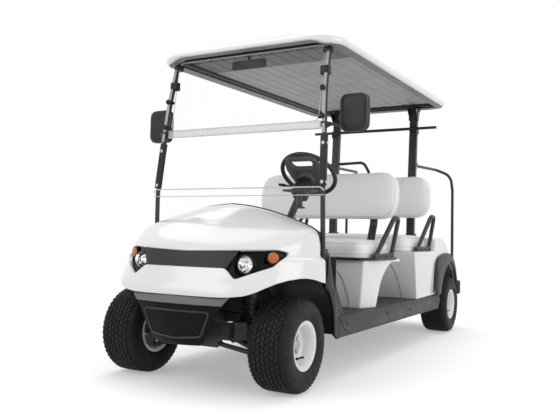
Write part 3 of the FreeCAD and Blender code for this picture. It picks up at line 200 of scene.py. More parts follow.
def peel_group():
    """Faint ripple of sprayed paint or a polished moulding."""
    group, entry, leave = new_group("paint_ripple", {"Scale": 60.0, "Depth": 0.05}, {"Normal": "Vector"})
    height = noise(group, entry.outputs["Scale"], 2.0)
    group.links.new(bump(group, height, entry.outputs["Depth"], 0.002), leave.inputs["Normal"])
    return group


GROUPS = {
    "mottle": mottle_group(),
    "wear": wear_group(),
    "dust": dust_group(),
    "grain": grain_group(),
    "peel": peel_group(),
}


def use_group(tree, key, **values):
    """Output of a shared effect with its sockets set."""
    node = tree.nodes.new("ShaderNodeGroup")
    node.node_tree = GROUPS[key]
    for name, value in values.items():
        node.inputs[name].default_value = value
    return node.outputs[0]


MATERIALS = {}


def new_material(name, **constants):
    """Material with a Principled shader whose named sockets hold plain constants."""
    material = bpy.data.materials.new(name)
    material.use_nodes = True
    shader = material.node_tree.nodes["Principled BSDF"]
    for key, value in constants.items():
        shader.inputs[key.replace("_", " ")].default_value = value
    MATERIALS[name] = material
    return material.node_tree, shader


def wire(tree, shader, **sources):
    """Join node outputs to the shader's named sockets."""
    for key, source in sources.items():
        tree.links.new(source, shader.inputs[key.replace("_", " ")])


def drifting(tree, middle, spread, scale):
    """Roughness that drifts about its middle value."""
    return ramp(tree, noise(tree, scale, 4.0), 0.3, 0.7, middle - spread, middle + spread)


def layered(name, base, dirt, wear, rough, relief, **constants):
    """Mottled colour under road dust and worn edges, with a drifting roughness and a fine bump.

    base is colour, spread and scale, dirt is amount, top, scale and colour, wear is amount, scale and
    colour, rough is middle, spread and scale, and relief is the bump's effect, scale and depth.
    """
    tree, shader = new_material(name, **constants)
    colour = use_group(tree, "mottle", Base=base[0], Spread=base[1], Scale=base[2])
    dust = use_group(tree, "dust", Amount=dirt[0], Top=dirt[1], Scale=dirt[2])
    worn = use_group(tree, "wear", Amount=wear[0], Scale=wear[1])
    dusty = mixed(tree, dust, colour, dirt[3])
    wire(tree, shader, Base_Color=mixed(tree, worn, dusty, wear[2]), Roughness=drifting(tree, *rough),
         Normal=use_group(tree, relief[0], Scale=relief[1], Depth=relief[2]))
    return tree, shader, worn


def gloss_paint(name, base, dust, coat=0.6, roughness=0.22):
    """Smooth glossy moulding or paint with light dust low down."""
    layered(name, (base, 0.025, 3.0), (dust, 0.55, 7.0, grey(0.42, 0.12)), (0.25, 35.0, grey(0.62)),
            (roughness, 0.04, 5.0), ("peel", 55.0, 0.06), Coat_Weight=coat, Coat_Roughness=0.06, IOR=1.5,
            Specular_IOR_Level=0.5)


def moulded_plastic(name, base, roughness, grain, depth, dust=0.25, worn=grey(0.2), shine=0.25):
    """Grained moulding whose edges go pale with use."""
    layered(name, (base, 0.18, 8.0), (dust, 0.5, 11.0, grey(0.22, 0.1)), (0.2, 60.0, worn),
            (roughness, 0.06, 14.0), ("grain", grain, depth), IOR=1.48, Specular_IOR_Level=shine)


def coated_steel(name, base, roughness, dust=0.2):
    """Powder coat on steel, with chips at the edges that show metal."""
    tree, shader, chips = layered(name, (base, 0.15, 12.0), (dust, 0.6, 9.0, grey(0.25, 0.1)),
                                  (0.12, 90.0, grey(0.4)), (roughness, 0.07, 20.0), ("peel", 420.0, 0.25),
                                  IOR=1.5, Specular_IOR_Level=0.35)
    wire(tree, shader, Metallic=chips)


def plain_metal(name, base, roughness, stretch=(1.0, 1.0, 1.0)):
    """Bare metal whose fine streaks are stretched into machining lines or left as a cast skin."""
    tree, shader = new_material(name, Metallic=1.0)
    colour = use_group(tree, "mottle", Base=base, Spread=0.2, Scale=25.0)
    dirt = use_group(tree, "dust", Amount=0.5, Top=0.5, Scale=14.0)
    spot = add_node(tree, "ShaderNodeTexCoord").outputs["Object"]
    mapped = add_node(tree, "ShaderNodeMapping", {"Vector": spot, "Scale": stretch}).outputs[0]
    streaks = add_node(tree, "ShaderNodeTexNoise", {"Vector": mapped, "Scale": 40.0, "Detail": 3.0})
    wire(tree, shader, Base_Color=mixed(tree, dirt, colour, grey(0.15, 0.15)),
         Roughness=drifting(tree, roughness, 0.08, 30.0),
         Normal=bump(tree, streaks.outputs["Fac"], 0.15, 0.001))


def clear_acrylic(name, tint, roughness):
    """Clear moulding in front of a lamp."""
    tree, shader = new_material(name, Base_Color=tint, IOR=1.2, Transmission_Weight=1.0)
    wire(tree, shader, Roughness=drifting(tree, roughness, roughness * 0.5, 12.0))


def haze_and_glare_sheet(name, tint, least, most):
    """Thin clear sheet: a faint smear of dust, and a pale film that grows at a glancing view, which is a
    painted reflection.
    """
    tree, shader = new_material(name, Base_Color=tint, IOR=1.45, Specular_IOR_Level=0.5)
    glance = add_node(tree, "ShaderNodeLayerWeight", {"Blend": 0.35}).outputs["Facing"]
    # Painted reflection: the sheet's pale colour shows more as the view grows glancing.
    glare_veil = ramp(tree, glance, 0.45, 0.95, least, most)
    smear = ramp(tree, noise(tree, 9.0, 4.0, 0.6), 0.3, 0.8, 0.0, 0.012)
    wire(tree, shader, Alpha=maths(tree, "ADD", glare_veil, smear), Roughness=drifting(tree, 0.08, 0.05, 12.0))


def tyre_rubber():
    """Black rubber, scuffed grey in patches."""
    tree, shader = new_material("tyre_rubber", IOR=1.5, Specular_IOR_Level=0.22)
    colour = use_group(tree, "mottle", Base=grey(0.012), Spread=0.3, Scale=14.0)
    scuff = ramp(tree, noise(tree, 55.0, 6.0, 0.7), 0.5, 0.75, 0.0, 0.22)
    wire(tree, shader, Base_Color=mixed(tree, scuff, colour, grey(0.045, 0.05)),
         Roughness=drifting(tree, 0.62, 0.1, 30.0), Normal=use_group(tree, "grain", Scale=600.0, Depth=0.4))


def seat_vinyl():
    """Pale vinyl: leather grain, soft creases and slight soiling at the edges."""
    tree, shader = new_material("seat_vinyl", IOR=1.46, Specular_IOR_Level=0.4, Sheen_Weight=0.15,
                                Sheen_Roughness=0.5)
    colour = use_group(tree, "mottle", Base=grey(0.87, 0.01), Spread=0.06, Scale=4.0)
    wear = use_group(tree, "wear", Amount=0.3, Scale=20.0)
    grain = use_group(tree, "grain", Scale=420.0, Depth=0.3)
    wire(tree, shader, Base_Color=mixed(tree, wear, colour, grey(0.74, 0.03)),
         Roughness=drifting(tree, 0.44, 0.07, 9.0),
         Normal=bump(tree, noise(tree, 26.0, 5.0, 0.65), 0.12, 0.01, Normal=grain))


def amber_plastic():
    """Clear-coated amber lens with a cellular inside."""
    tree, shader = new_material("amber_lens", Roughness=0.18, IOR=1.49, Coat_Weight=0.5, Coat_Roughness=0.04)
    spot = add_node(tree, "ShaderNodeTexCoord").outputs["Object"]
    cells = add_node(tree, "ShaderNodeTexVoronoi", {"Vector": spot, "Scale": 160.0}).outputs["Distance"]
    colour = use_group(tree, "mottle", Base=(0.58, 0.125, 0.02, 1), Spread=0.3, Scale=60.0)
    wire(tree, shader, Base_Color=colour, Normal=bump(tree, cells, 0.6, 0.002))


# Finishes. Paints and mouldings: colour, then roughness and grain or dust
gloss_paint("white_body", grey(0.80), 0.10)
gloss_paint("rim_white", grey(0.78), 0.30, coat=0.3, roughness=0.3)
# Darker copy of the white paint: painted shade along the pods' arch beads.
gloss_paint("pod_painted_shade", grey(0.30), 0.1, coat=0.3, roughness=0.35)
gloss_paint("screen_edge", grey(0.62), 0.0, coat=0.6, roughness=0.2)
gloss_paint("bolt_zinc", grey(0.60), 0.1, coat=0.3, roughness=0.3)
gloss_paint("post_strip", grey(0.36), 0.1, coat=0.4, roughness=0.3)
moulded_plastic("dark_plastic", grey(0.045), 0.5, 900.0, 0.35)
moulded_plastic("black_plastic", grey(0.014), 0.36, 1100.0, 0.2, worn=grey(0.08))
moulded_plastic("battery_case", (0.03, 0.032, 0.04, 1), 0.55, 500.0, 0.3)
moulded_plastic("liner_grey", grey(0.42), 0.6, 700.0, 0.25, dust=0.0, worn=grey(0.55))
# Darker copy of the liner: painted shade on the ceiling's front part.
moulded_plastic("liner_painted_shade", grey(0.19), 0.6, 700.0, 0.25, dust=0.0, worn=grey(0.25))
moulded_plastic("floor_mat", grey(0.05), 0.7, 350.0, 0.6, dust=0.5)
moulded_plastic("band_satin", grey(0.030), 0.42, 1000.0, 0.15, worn=grey(0.1))
moulded_plastic("black_gloss", grey(0.004), 0.22, 900.0, 0.1, dust=0.03, worn=grey(0.03), shine=0.12)
# Lighter copy of the dark plastic: painted light on the bumper's top strip, which lies in the cowl lip's
# shadow.
moulded_plastic("bumper_painted_light", grey(0.17), 0.5, 900.0, 0.3, worn=grey(0.35))
moulded_plastic("bumper_black", grey(0.0045), 0.42, 900.0, 0.3, dust=0.06, worn=grey(0.03), shine=0.1)
# Grey copy of the white body: painted shade under the roof's rolled rim.
moulded_plastic("roof_rim_painted_shade", grey(0.23), 0.5, 800.0, 0.15, dust=0.0, worn=grey(0.3))
moulded_plastic("piping", grey(0.60), 0.5, 300.0, 0.1, dust=0.0, worn=grey(0.5))
moulded_plastic("mirror_shell", grey(0.026), 0.4, 1000.0, 0.12, dust=0.1)
moulded_plastic("wheel_pad", grey(0.10), 0.5, 900.0, 0.2, dust=0.05)
moulded_plastic("wheel_grip", grey(0.040), 0.5, 600.0, 0.3, dust=0.0)
coated_steel("black_steel", grey(0.018), 0.38)
coated_steel("frame_steel", grey(0.03), 0.5, dust=0.4)
plain_metal("bare_steel", grey(0.45), 0.35, (1.0, 8.0, 8.0))
plain_metal("cast_grey", grey(0.32), 0.6, (4.0, 4.0, 4.0))
plain_metal("bar_aluminium", grey(0.72), 0.3, (6.0, 0.5, 6.0))
plain_metal("mirror_glass", grey(0.85), 0.03)
plain_metal("chrome_bowl", grey(0.85), 0.08)
# Both sheets carry a painted reflection that grows at a glancing view; the bar's is strong.
haze_and_glare_sheet("clear_screen", (0.86, 0.88, 0.88, 1), 0.005, 0.11)
haze_and_glare_sheet("clear_bar", (0.72, 0.74, 0.74, 1), 0.45, 0.8)
clear_acrylic("lamp_glass", (0.96, 0.97, 0.97, 1), 0.03)
tyre_rubber()
seat_vinyl()
amber_plastic()


# Stage and light
FLOOR_REACH = 40.0
FLOOR_FADE = (2.2, 4.5)
FLOOR_LIFT = 0.34
WORLD_LEVEL = 0.61
# Name, place, aim, size and power of each soft lamp
LAMPS = [
    ("top_light", (-0.8, -0.6, 4.6), (0.0, 0.0, 0.6), (6.5, 5.0), 128.0),
    ("front_light", (5.2, -1.6, 3.0), (0.6, 0.0, 0.7), (3.2, 2.4), 48.0),
    ("side_light", (1.5, 5.2, 2.4), (0.0, 0.0, 0.7), (4.0, 2.6), 74.0),
]


def seen_directly(tree):
    """1 for a ray that shows the backdrop straight, mirrored or through glass, else 0."""
    path = add_node(tree, "ShaderNodeLightPath").outputs
    bent = maths(tree, "MAXIMUM", path["Is Glossy Ray"], path["Is Transmission Ray"])
    return maths(tree, "MAXIMUM", path["Is Camera Ray"], bent)


def stage_floor():
    """White floor that catches soft shadows near the cart and fades into the backdrop."""
    mesh = bpy.data.meshes.new("studio_floor")
    corners = [(FLOOR_REACH * a, FLOOR_REACH * b, 0) for a, b in ((-1, -1), (1, -1), (1, 1), (-1, 1))]
    mesh.from_pydata(corners, [], [(0, 1, 2, 3)])
    floor = bpy.data.objects.new("studio_floor", mesh)
    bpy.context.scene.collection.objects.link(floor)
    material = bpy.data.materials.new("studio_floor")
    material.use_nodes = True
    tree = material.node_tree
    tree.nodes.clear()
    spot = add_node(tree, "ShaderNodeTexCoord").outputs["Object"]
    away = add_node(tree, "ShaderNodeVectorMath", {0: spot}, operation="LENGTH").outputs["Value"]
    far = ramp(tree, away, *FLOOR_FADE)
    seen = seen_directly(tree)
    glow = maths(tree, "MULTIPLY", seen, FLOOR_LIFT)
    matt = add_node(tree, "ShaderNodeBsdfDiffuse", {"Color": grey(0.80)})
    white = add_node(tree, "ShaderNodeEmission", {"Color": grey(1.0), "Strength": 1.0})
    lift = add_node(tree, "ShaderNodeEmission", {"Color": grey(1.0), "Strength": glow})
    near = add_node(tree, "ShaderNodeAddShader", {0: matt.outputs[0], 1: lift.outputs[0]})
    share = maths(tree, "MULTIPLY", far, seen)
    blend = add_node(tree, "ShaderNodeMixShader", {0: share, 1: near.outputs[0], 2: white.outputs[0]})
    add_node(tree, "ShaderNodeOutputMaterial", {"Surface": blend.outputs[0]})
    mesh.materials.append(material)


def studio_world():
    """Even daylight: full white where it is seen, dimmer as a light."""
    world = bpy.data.worlds.new("studio")
    bpy.context.scene.world = world
    world.use_nodes = True
    tree = world.node_tree
    tree.nodes.clear()
    level = ramp(tree, seen_directly(tree), 0.0, 1.0, WORLD_LEVEL, 1.0)
    back = add_node(tree, "ShaderNodeBackground", {"Color": grey(1.0), "Strength": level})
    add_node(tree, "ShaderNodeOutputWorld", {"Surface": back.outputs[0]})


def soft_light(name, at, aim, size, power):
    data = bpy.data.lights.new(name, "AREA")
    data.shape = "RECTANGLE"
    data.size, data.size_y = size
    data.energy = power
    lamp = bpy.data.objects.new(name, data)
    lamp.location = at
    lamp.rotation_euler = (Vector(aim) - Vector(at)).to_track_quat("-Z", "Y").to_euler()
    bpy.context.scene.collection.objects.link(lamp)


bpy.context.scene.view_settings.view_transform = "Standard"
place_camera()
stage_floor()
studio_world()
for lamp_values in LAMPS:
    soft_light(*lamp_values)


def dress(piece, material, body="chassis", replaces=()):
    """Give a piece its finish, its body and the CAD nodes it stands for."""
    piece.data.materials.clear()
    piece.data.materials.append(MATERIALS[material])
    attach(piece, body)
    if replaces:
        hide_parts(*replaces)
    return piece


def dress_nodes():
    """Finish every CAD node in its own record slot's material."""
    slots = {part["node"]: part["material_slot"] for part in frame["record"]["subparts"]}
    for name, node in frame["nodes"].items():
        finish = MATERIALS[slots.get(name, "black_plastic")]
        if not node.material_slots:
            node.data.materials.append(finish)
        for place in node.material_slots:
            place.material = finish


dress_nodes()


# Mesh helpers

def round_corner(before, corner, after, bend, steps):
    """Points of a round bend in place of a corner."""
    into = before - corner
    away = after - corner
    reach = min(bend, into.length * 0.48, away.length * 0.48)
    first = corner + into.normalized() * reach
    last = corner + away.normalized() * reach
    shares = [step / steps for step in range(steps + 1)]
    return [first * (1 - t) ** 2 + corner * 2 * t * (1 - t) + last * t ** 2 for t in shares]


def smooth_path(points, bend, steps=6):
    """Corner points joined by straight runs and round bends."""
    corners = [Vector(p) for p in points]
    path = [corners[0]]
    for before, corner, after in zip(corners, corners[1:], corners[2:]):
        path += round_corner(before, corner, after, bend, steps)
    return path + [corners[-1]]


def rounded_outline(points, corner, steps=5):
    """Closed outline of pairs with its corners rounded."""
    flat = [Vector((a, b, 0)) for a, b in points]
    outline = []
    for before, here, after in zip(flat[-1:] + flat, flat, flat[1:] + flat[:1]):
        outline += [(p.x, p.y) for p in round_corner(before, here, after, corner, steps)]
    return outline


def round_box(low, high, corner, steps=8):
    """Rounded rectangle of pairs between two opposite corners."""
    return rounded_outline([low, (high[0], low[1]), high, (low[0], high[1])], corner, steps)


def both_halves(half, middle=()):
    """Pairs of one side, then any in the middle, then the same pairs on the other side, back to front."""
    return half + list(middle) + [(-a, b) for a, b in reversed(half)]


def evenly(start, end, steps):
    """Values from start to end in even steps."""
    return [start + (end - start) * i / steps for i in range(steps + 1)]


def circle(count):
    """Cosine and sine at even steps of a full turn."""
    return [(math.cos(2 * math.pi * i / count), math.sin(2 * math.pi * i / count)) for i in range(count)]


def curve_through(points, steps=8):
    """Smooth curve through every point."""
    knots = [Vector(p) for p in points]
    ends = [knots[0] * 2 - knots[1]] + knots + [knots[-1] * 2 - knots[-2]]
    path = []
    for a, b, c, d in zip(ends, ends[1:], ends[2:], ends[3:]):
        for step in range(steps):
            t = step / steps
            path.append((b * 2 + (c - a) * t + (a * 2 - b * 5 + c * 4 - d) * t ** 2
                         + (b * 3 - a - c * 3 + d) * t ** 3) * 0.5)
    path.append(knots[-1])
    return path


def curve_of_pairs(pairs, steps=8):
    """Smooth curve of pairs through every pair."""
    return [(p.x, p.y) for p in curve_through([(a, b, 0) for a, b in pairs], steps)]


def across(axis):
    """Two directions square to an axis and to each other."""
    axis = Vector(axis).normalized()
    helper = Vector((0, 0, 1)) if abs(axis.z) < 0.9 else Vector((0, 1, 0))
    first = axis.cross(helper).normalized()
    return first, axis.cross(first)


def headings(path, loop=False):
    """Direction of a path at each of its points."""
    last = len(path) - 1
    if loop:
        return [(path[(i + 1) % (last + 1)] - path[i - 1]).normalized() for i in range(last + 1)]
    return [(path[min(i + 1, last)] - path[max(i - 1, 0)]).normalized() for i in range(last + 1)]


def box_section(width, depth, corner, steps=3):
    """Rounded rectangle: width along the first direction, depth along the second."""
    section = []
    for quarter, (sx, sy) in enumerate(((1, 1), (-1, 1), (-1, -1), (1, -1))):
        for angle in evenly(math.pi / 2 * quarter, math.pi / 2 * (quarter + 1), steps):
            section.append((sx * (width / 2 - corner) + corner * math.cos(angle),
                            sy * (depth / 2 - corner) + corner * math.sin(angle)))
    return section


LEAST_RADIUS = 0.00005


class Shape:
    """Solids gathered into one mesh."""

    def __init__(self):
        self.mesh = bmesh.new()

    def rows(self, rows, ring=False, loop=False, caps=False):
        """Skin over rows of points. ring closes each row, loop joins the last row to the first."""
        mesh = self.mesh
        made = [[mesh.verts.new(p) for p in row] for row in rows]
        faces = []
        pairs = list(zip(made, made[1:]))
        if loop:
            pairs.append((made[-1], made[0]))
        for low, high in pairs:
            count = len(low)
            for i in range(count if ring else count - 1):
                j = (i + 1) % count
                faces.append(mesh.faces.new((low[i], low[j], high[j], high[i])))
        if caps:
            faces.append(mesh.faces.new(list(reversed(made[0]))))
            faces.append(mesh.faces.new(made[-1]))
        bmesh.ops.recalc_face_normals(mesh, faces=faces)
        return faces

    def lathe(self, profile, centre, axis, steps=48, closed=False):
        """Turn (distance along the axis, radius) pairs about it."""
        centre = Vector(centre)
        axis = Vector(axis).normalized()
        u, v = across(axis)
        rows = []
        for along, radius in profile:
            middle = centre + axis * along
            radius = max(radius, LEAST_RADIUS)
            rows.append([middle + (u * cos + v * sin) * radius for cos, sin in circle(steps)])
        return self.rows(rows, ring=True, loop=closed, caps=not closed)

    def sweep(self, path, section, up):
        """Section of pairs carried along a path; its first direction lies square to the up vector."""
        path = [Vector(p) for p in path]
        rows = []
        for spot, along in zip(path, headings(path)):
            side = along.cross(Vector(up)).normalized()
            rise = side.cross(along)
            rows.append([spot + side * a + rise * b for a, b in section])
        return self.rows(rows, ring=True, caps=True)

    def tube(self, path, radius, sides=14, loop=False):
        """Round tube along a path in any direction."""
        path = [Vector(p) for p in path]
        rows = []
        side = across(path[1] - path[0])[0]
        for spot, along in zip(path, headings(path, loop)):
            side = (side - along * side.dot(along)).normalized()
            rise = along.cross(side)
            rows.append([spot + (side * cos + rise * sin) * radius for cos, sin in circle(sides)])
        return self.rows(rows, ring=True, caps=not loop, loop=loop)

    def soften(self, faces, width, segments=3, angle=30.0):
        """Round the sharp edges of some faces."""
        limit = math.radians(angle)
        edges = {e for f in faces if f.is_valid for e in f.edges if len(e.link_faces) == 2}
        sharp = [e for e in edges if e.calc_face_angle(0.0) > limit]
        if sharp:
            bmesh.ops.bevel(self.mesh, geom=sharp, offset=width, segments=segments, profile=0.5,
                            affect="EDGES", clamp_overlap=True)

    def block(self, low, high, edge=0.003, turn=None):
        """Box between two corners with round edges, moved by a turn matrix if there is one."""
        (x0, y0, z0), (x1, y1, z1) = low, high
        ring = [(x0, y0), (x1, y0), (x1, y1), (x0, y1)]
        faces = self.rows([[Vector((x, y, z)) for x, y in ring] for z in (z0, z1)], ring=True, caps=True)
        if turn:
            bmesh.ops.transform(self.mesh, matrix=turn, verts=list({v for f in faces for v in f.verts}))
        self.soften(faces, edge)

    def prism(self, outline, direction, start, end, edge=0.003, corner=0.0):
        """Outline of pairs in the plane square to x, y or z, made solid from start to end."""
        place = {"x": lambda a, b, c: Vector((c, a, b)), "y": lambda a, b, c: Vector((a, c, b)),
                 "z": lambda a, b, c: Vector((a, b, c))}[direction]
        points = rounded_outline(outline, corner) if corner else outline
        faces = self.rows([[place(a, b, c) for a, b in points] for c in (start, end)], ring=True, caps=True)
        self.soften(faces, edge)

    def bolt(self, at, out, radius=0.007):
        """Hexagon head on a washer."""
        at = Vector(at)
        out = Vector(out).normalized()
        self.lathe([(-0.001, radius * 1.5), (radius * 0.25, radius * 1.5), (radius * 0.3, radius * 1.35)],
                   at, out, 18)
        self.lathe([(0.0, radius), (radius * 0.9, radius), (radius * 1.05, radius * 0.8)], at, out, 6)

    def mirror(self):
        """Add the same shape on the other side of the cart."""
        mesh = self.mesh
        copied = bmesh.ops.duplicate(mesh, geom=mesh.verts[:] + mesh.edges[:] + mesh.faces[:])["geom"]
        for part in copied:
            if isinstance(part, bmesh.types.BMVert):
                part.co.y = -part.co.y
        bmesh.ops.reverse_faces(mesh, faces=[part for part in copied if isinstance(part, bmesh.types.BMFace)])

    def done(self, name, material, body="chassis", replaces=(), angle=40.0, both=False):
        if both:
            self.mirror()
        mesh = bpy.data.meshes.new(name)
        self.mesh.to_mesh(mesh)
        self.mesh.free()
        mesh.polygons.foreach_set("use_smooth", [True] * len(mesh.polygons))
        mesh.set_sharp_from_angle(angle=math.radians(angle))
        piece = bpy.data.objects.new(name, mesh)
        bpy.context.scene.collection.objects.link(piece)
        return dress(piece, material, body, replaces)


# Tyres: half profile from the crown to the sidewall, as distance from the middle and radius
TYRE_RADIUS = 0.228
TYRE_HALF = [(0.0, 0.2283), (0.030, 0.2281), (0.060, 0.2272), (0.078, 0.2255), (0.092, 0.2200),
             (0.1010, 0.2090), (0.1045, 0.1950)]
SIDEWALL = [(0.1062, 0.1900), (0.1072, 0.1820), (0.1060, 0.1790), (0.1072, 0.1760), (0.1068, 0.1640),
            (0.1050, 0.1500), (0.1010, 0.1360), (0.0985, 0.1300), (0.0970, 0.1290), (0.0950, 0.1235),
            (0.0930, 0.1205), (0.0916, 0.1190)]
TREAD_DEPTH = 0.0065
TREAD_PITCHES = 50
TREAD_COLUMNS = (-0.0600, -0.0360, -0.0120, 0.0120, 0.0360, 0.0600)
BLOCK_WIDTH = 0.0200
BLOCK_CHAMFER = 0.0014
# Shares of one pitch: block length, its slant, and the length of a shoulder lug
BLOCK_LENGTH = 0.80
BLOCK_SLANT = 0.28
SHOULDER_LENGTH = 0.36
SHOULDER_IN = 0.0740
SHOULDER_OUT = (0.1120, 0.1020)
SHOULDER_SINK = 0.004


def tread_curve():
    """Distance along the crown, offset and radius, from the middle to the sidewall."""
    path = curve_through([(a, r, 0) for a, r in TYRE_HALF], 8)
    table = [(0.0, path[0].x, path[0].y)]
    run = 0.0
    for before, here in zip(path, path[1:]):
        run += (here - before).length
        table.append((run, here.x, here.y))
    return table


TREAD_CURVE = tread_curve()


def crown(run):
    """Offset and radius at a signed distance along the crown."""
    side = 1 if run >= 0 else -1
    run = abs(run)
    for (r0, a0, b0), (r1, a1, b1) in zip(TREAD_CURVE, TREAD_CURVE[1:]):
        if run <= r1:
            share = (run - r0) / (r1 - r0)
            return side * (a0 + (a1 - a0) * share), b0 + (b1 - b0) * share
    return side * TREAD_CURVE[-1][1], TREAD_CURVE[-1][2]


def tread_block(shape, centre, corners, sink=TREAD_DEPTH):
    """Raised block on the crown. Corners are (run, angle) pairs; the top is drawn in by the chamfer."""
    middle_run = sum(r for r, _ in corners) / len(corners)
    middle_angle = sum(a for _, a in corners) / len(corners)

    def spot(run, angle, lift):
        offset, radius = crown(run)
        ahead = crown(run + 0.001)
        behind = crown(run - 0.001)
        slope = Vector((ahead[0] - behind[0], ahead[1] - behind[1])).normalized()
        offset -= slope.y * lift
        radius += slope.x * lift
        return Vector((centre[0] + radius * math.cos(angle), centre[1] + offset,
                       centre[2] + radius * math.sin(angle)))

    def drawn(run, angle):
        across_run = math.copysign(min(BLOCK_CHAMFER, abs(run - middle_run)), run - middle_run)
        across_angle = math.copysign(BLOCK_CHAMFER / TYRE_RADIUS, angle - middle_angle)
        return run - across_run, angle - across_angle

    foot = [spot(r, a, -sink) for r, a in corners]
    shoulder = [spot(r, a, -BLOCK_CHAMFER) for r, a in corners]
    top = [spot(*drawn(r, a), 0.0) for r, a in corners]
    shape.rows([foot, shoulder, top], ring=True, caps=True)


def tyre_carcass(shape, centre):
    """Closed tyre body under the tread, with its rim flange rings and bead."""
    half = []
    for share in evenly(0.0, 1.0, 8):
        offset, radius = crown(0.118 * share)
        half.append((offset * 0.985, radius - TREAD_DEPTH * max(0.0, 1 - share ** 4)))
    half += SIDEWALL
    profile = [(-a, r) for a, r in reversed(half)] + half[1:]
    shape.lathe([(-0.090, 0.1025)] + profile + [(0.090, 0.1025)], centre, (0, 1, 0), 96, closed=True)


def tread_pitch(shape, centre, start, pitch):
    """One pitch of the tread: slanted blocks in staggered columns and two lugs on each shoulder."""
    half = BLOCK_WIDTH / 2
    span = BLOCK_LENGTH * pitch / 2
    for column, middle in enumerate(TREAD_COLUMNS):
        odd = column % 2
        slant = BLOCK_SLANT * pitch * (1 if odd else -1)
        at = start + 0.5 * pitch * odd
        tread_block(shape, centre, [(middle - half, at - span - slant), (middle + half, at - span + slant),
                                    (middle + half, at + span + slant), (middle - half, at + span - slant)])
    span = SHOULDER_LENGTH * pitch / 2
    for edge in (-1, 1):
        for at, reach in zip((start + 0.25 * pitch, start + 0.75 * pitch), SHOULDER_OUT):
            inner, outer = edge * SHOULDER_IN, edge * reach
            tread_block(shape, centre, [(inner, at - span), (outer, at - span * 0.9),
                                        (outer, at + span * 0.9), (inner, at + span)], sink=SHOULDER_SINK)


def tyre(wheel, centre):
    shape = Shape()
    tyre_carcass(shape, centre)
    pitch = 2 * math.pi / TREAD_PITCHES
    for turn in range(TREAD_PITCHES):
        tread_pitch(shape, centre, turn * pitch, pitch)
    shape.done("tread_" + wheel, "tyre_rubber", "wheel_" + wheel, ["tyre_" + wheel], angle=30.0)


# Closed section of the pressed rim: distance from the wheel's middle, radius
RIM_PROFILE = [
    (0.0958, 0.1180), (0.0968, 0.1192), (0.0962, 0.1200), (0.0930, 0.1196), (0.0918, 0.1170),
    (0.0915, 0.1060), (0.0900, 0.1012), (0.0600, 0.0985), (0.0400, 0.0900), (-0.0400, 0.0900),
    (-0.0700, 0.0985), (-0.0900, 0.1012), (-0.0915, 0.1060), (-0.0918, 0.1170), (-0.0940, 0.1192),
    (-0.0960, 0.1185), (-0.0958, 0.1150), (-0.0940, 0.1040), (-0.0880, 0.0975), (-0.0500, 0.0850),
    (0.0250, 0.0850), (0.0320, 0.0820), (0.0340, 0.0680), (0.0260, 0.0600), (0.0260, 0.0345),
    (0.0290, 0.0345), (0.0290, 0.0590), (0.0380, 0.0690), (0.0370, 0.0800), (0.0400, 0.0850),
    (0.0520, 0.0890), (0.0680, 0.0905), (0.0760, 0.0950), (0.0860, 0.0985), (0.0925, 0.1045),
    (0.0945, 0.1140),
]
HUB_PROFILE = [(-0.022, 0.0345), (0.034, 0.0340), (0.0365, 0.0320), (0.0380, 0.0290), (0.0520, 0.0270),
               (0.0560, 0.0235), (0.0575, 0.0)]
VALVE_PROFILE = [(0.040, 0.0065), (0.052, 0.0060), (0.058, 0.0042), (0.074, 0.0040), (0.075, 0.0052),
                 (0.086, 0.0052), (0.087, 0.0040)]
LUG_CIRCLE = 0.0508
LUG_NUTS = 4
VALVE_RADIUS = 0.0870
VALVE_ANGLE = 0.25


def rim(wheel, centre, out):
    """Pressed disc, hub with its nuts, and the valve."""
    body = "wheel_" + wheel
    pressed = Shape()
    pressed.lathe(RIM_PROFILE, centre, out, 72, closed=True)
    pressed.done("wheel_disc_" + wheel, "rim_white", body, ["rim_" + wheel], angle=28.0)
    hub = Shape()
    hub.lathe(HUB_PROFILE, centre, out, 40)
    for step in range(LUG_NUTS):
        angle = math.pi / 4 + 2 * math.pi * step / LUG_NUTS
        at = centre + Vector((math.cos(angle), 0, math.sin(angle))) * LUG_CIRCLE + out * 0.029
        hub.bolt(at, out, 0.0095)
    hub.done("hub_" + wheel, "bare_steel", body, angle=35.0)
    valve = Shape()
    at = centre - Vector((math.sin(VALVE_ANGLE), 0, math.cos(VALVE_ANGLE))) * VALVE_RADIUS
    valve.lathe(VALVE_PROFILE, at, out + Vector((0.1, 0, 0.35)), 16)
    valve.done("valve_" + wheel, "black_plastic", body)


for wheel_end, axle_x in (("front", FRONT_AXLE), ("rear", REAR_AXLE)):
    for wheel_side, sign in (("left", 1), ("right", -1)):
        wheel_centre = Vector((axle_x, sign * HALF_TRACK[wheel_end], AXLE_Z))
        tyre(wheel_end + "_" + wheel_side, wheel_centre)
        rim(wheel_end + "_" + wheel_side, wheel_centre, Vector((0, sign, 0)))


# Cowl: height, nose ahead of the front axle, half width at the rear, fullness of the plan
COWL_REAR_X = FRONT_AXLE - 0.165
COWL_LEVELS = [
    (0.440, 0.318, 0.556, 3.60), (0.475, 0.314, 0.563, 3.50), (0.510, 0.304, 0.566, 3.30),
    (0.550, 0.286, 0.566, 3.00), (0.600, 0.268, 0.564, 2.60), (0.632, 0.259, 0.561, 2.55),
    (0.652, 0.254, 0.536, 2.50), (0.690, 0.238, 0.534, 2.45), (0.722, 0.208, 0.531, 2.40),
    (0.774, 0.136, 0.514, 2.30), (0.806, 0.088, 0.462, 2.20), (0.848, 0.015, 0.352, 2.10),
    (0.882, -0.058, 0.235, 2.0), (0.906, -0.118, 0.118, 2.0), (0.918, -0.160, 0.004, 2.0),
]
COWL_SQUARENESS = 0.44
COWL_WALL = 0.004
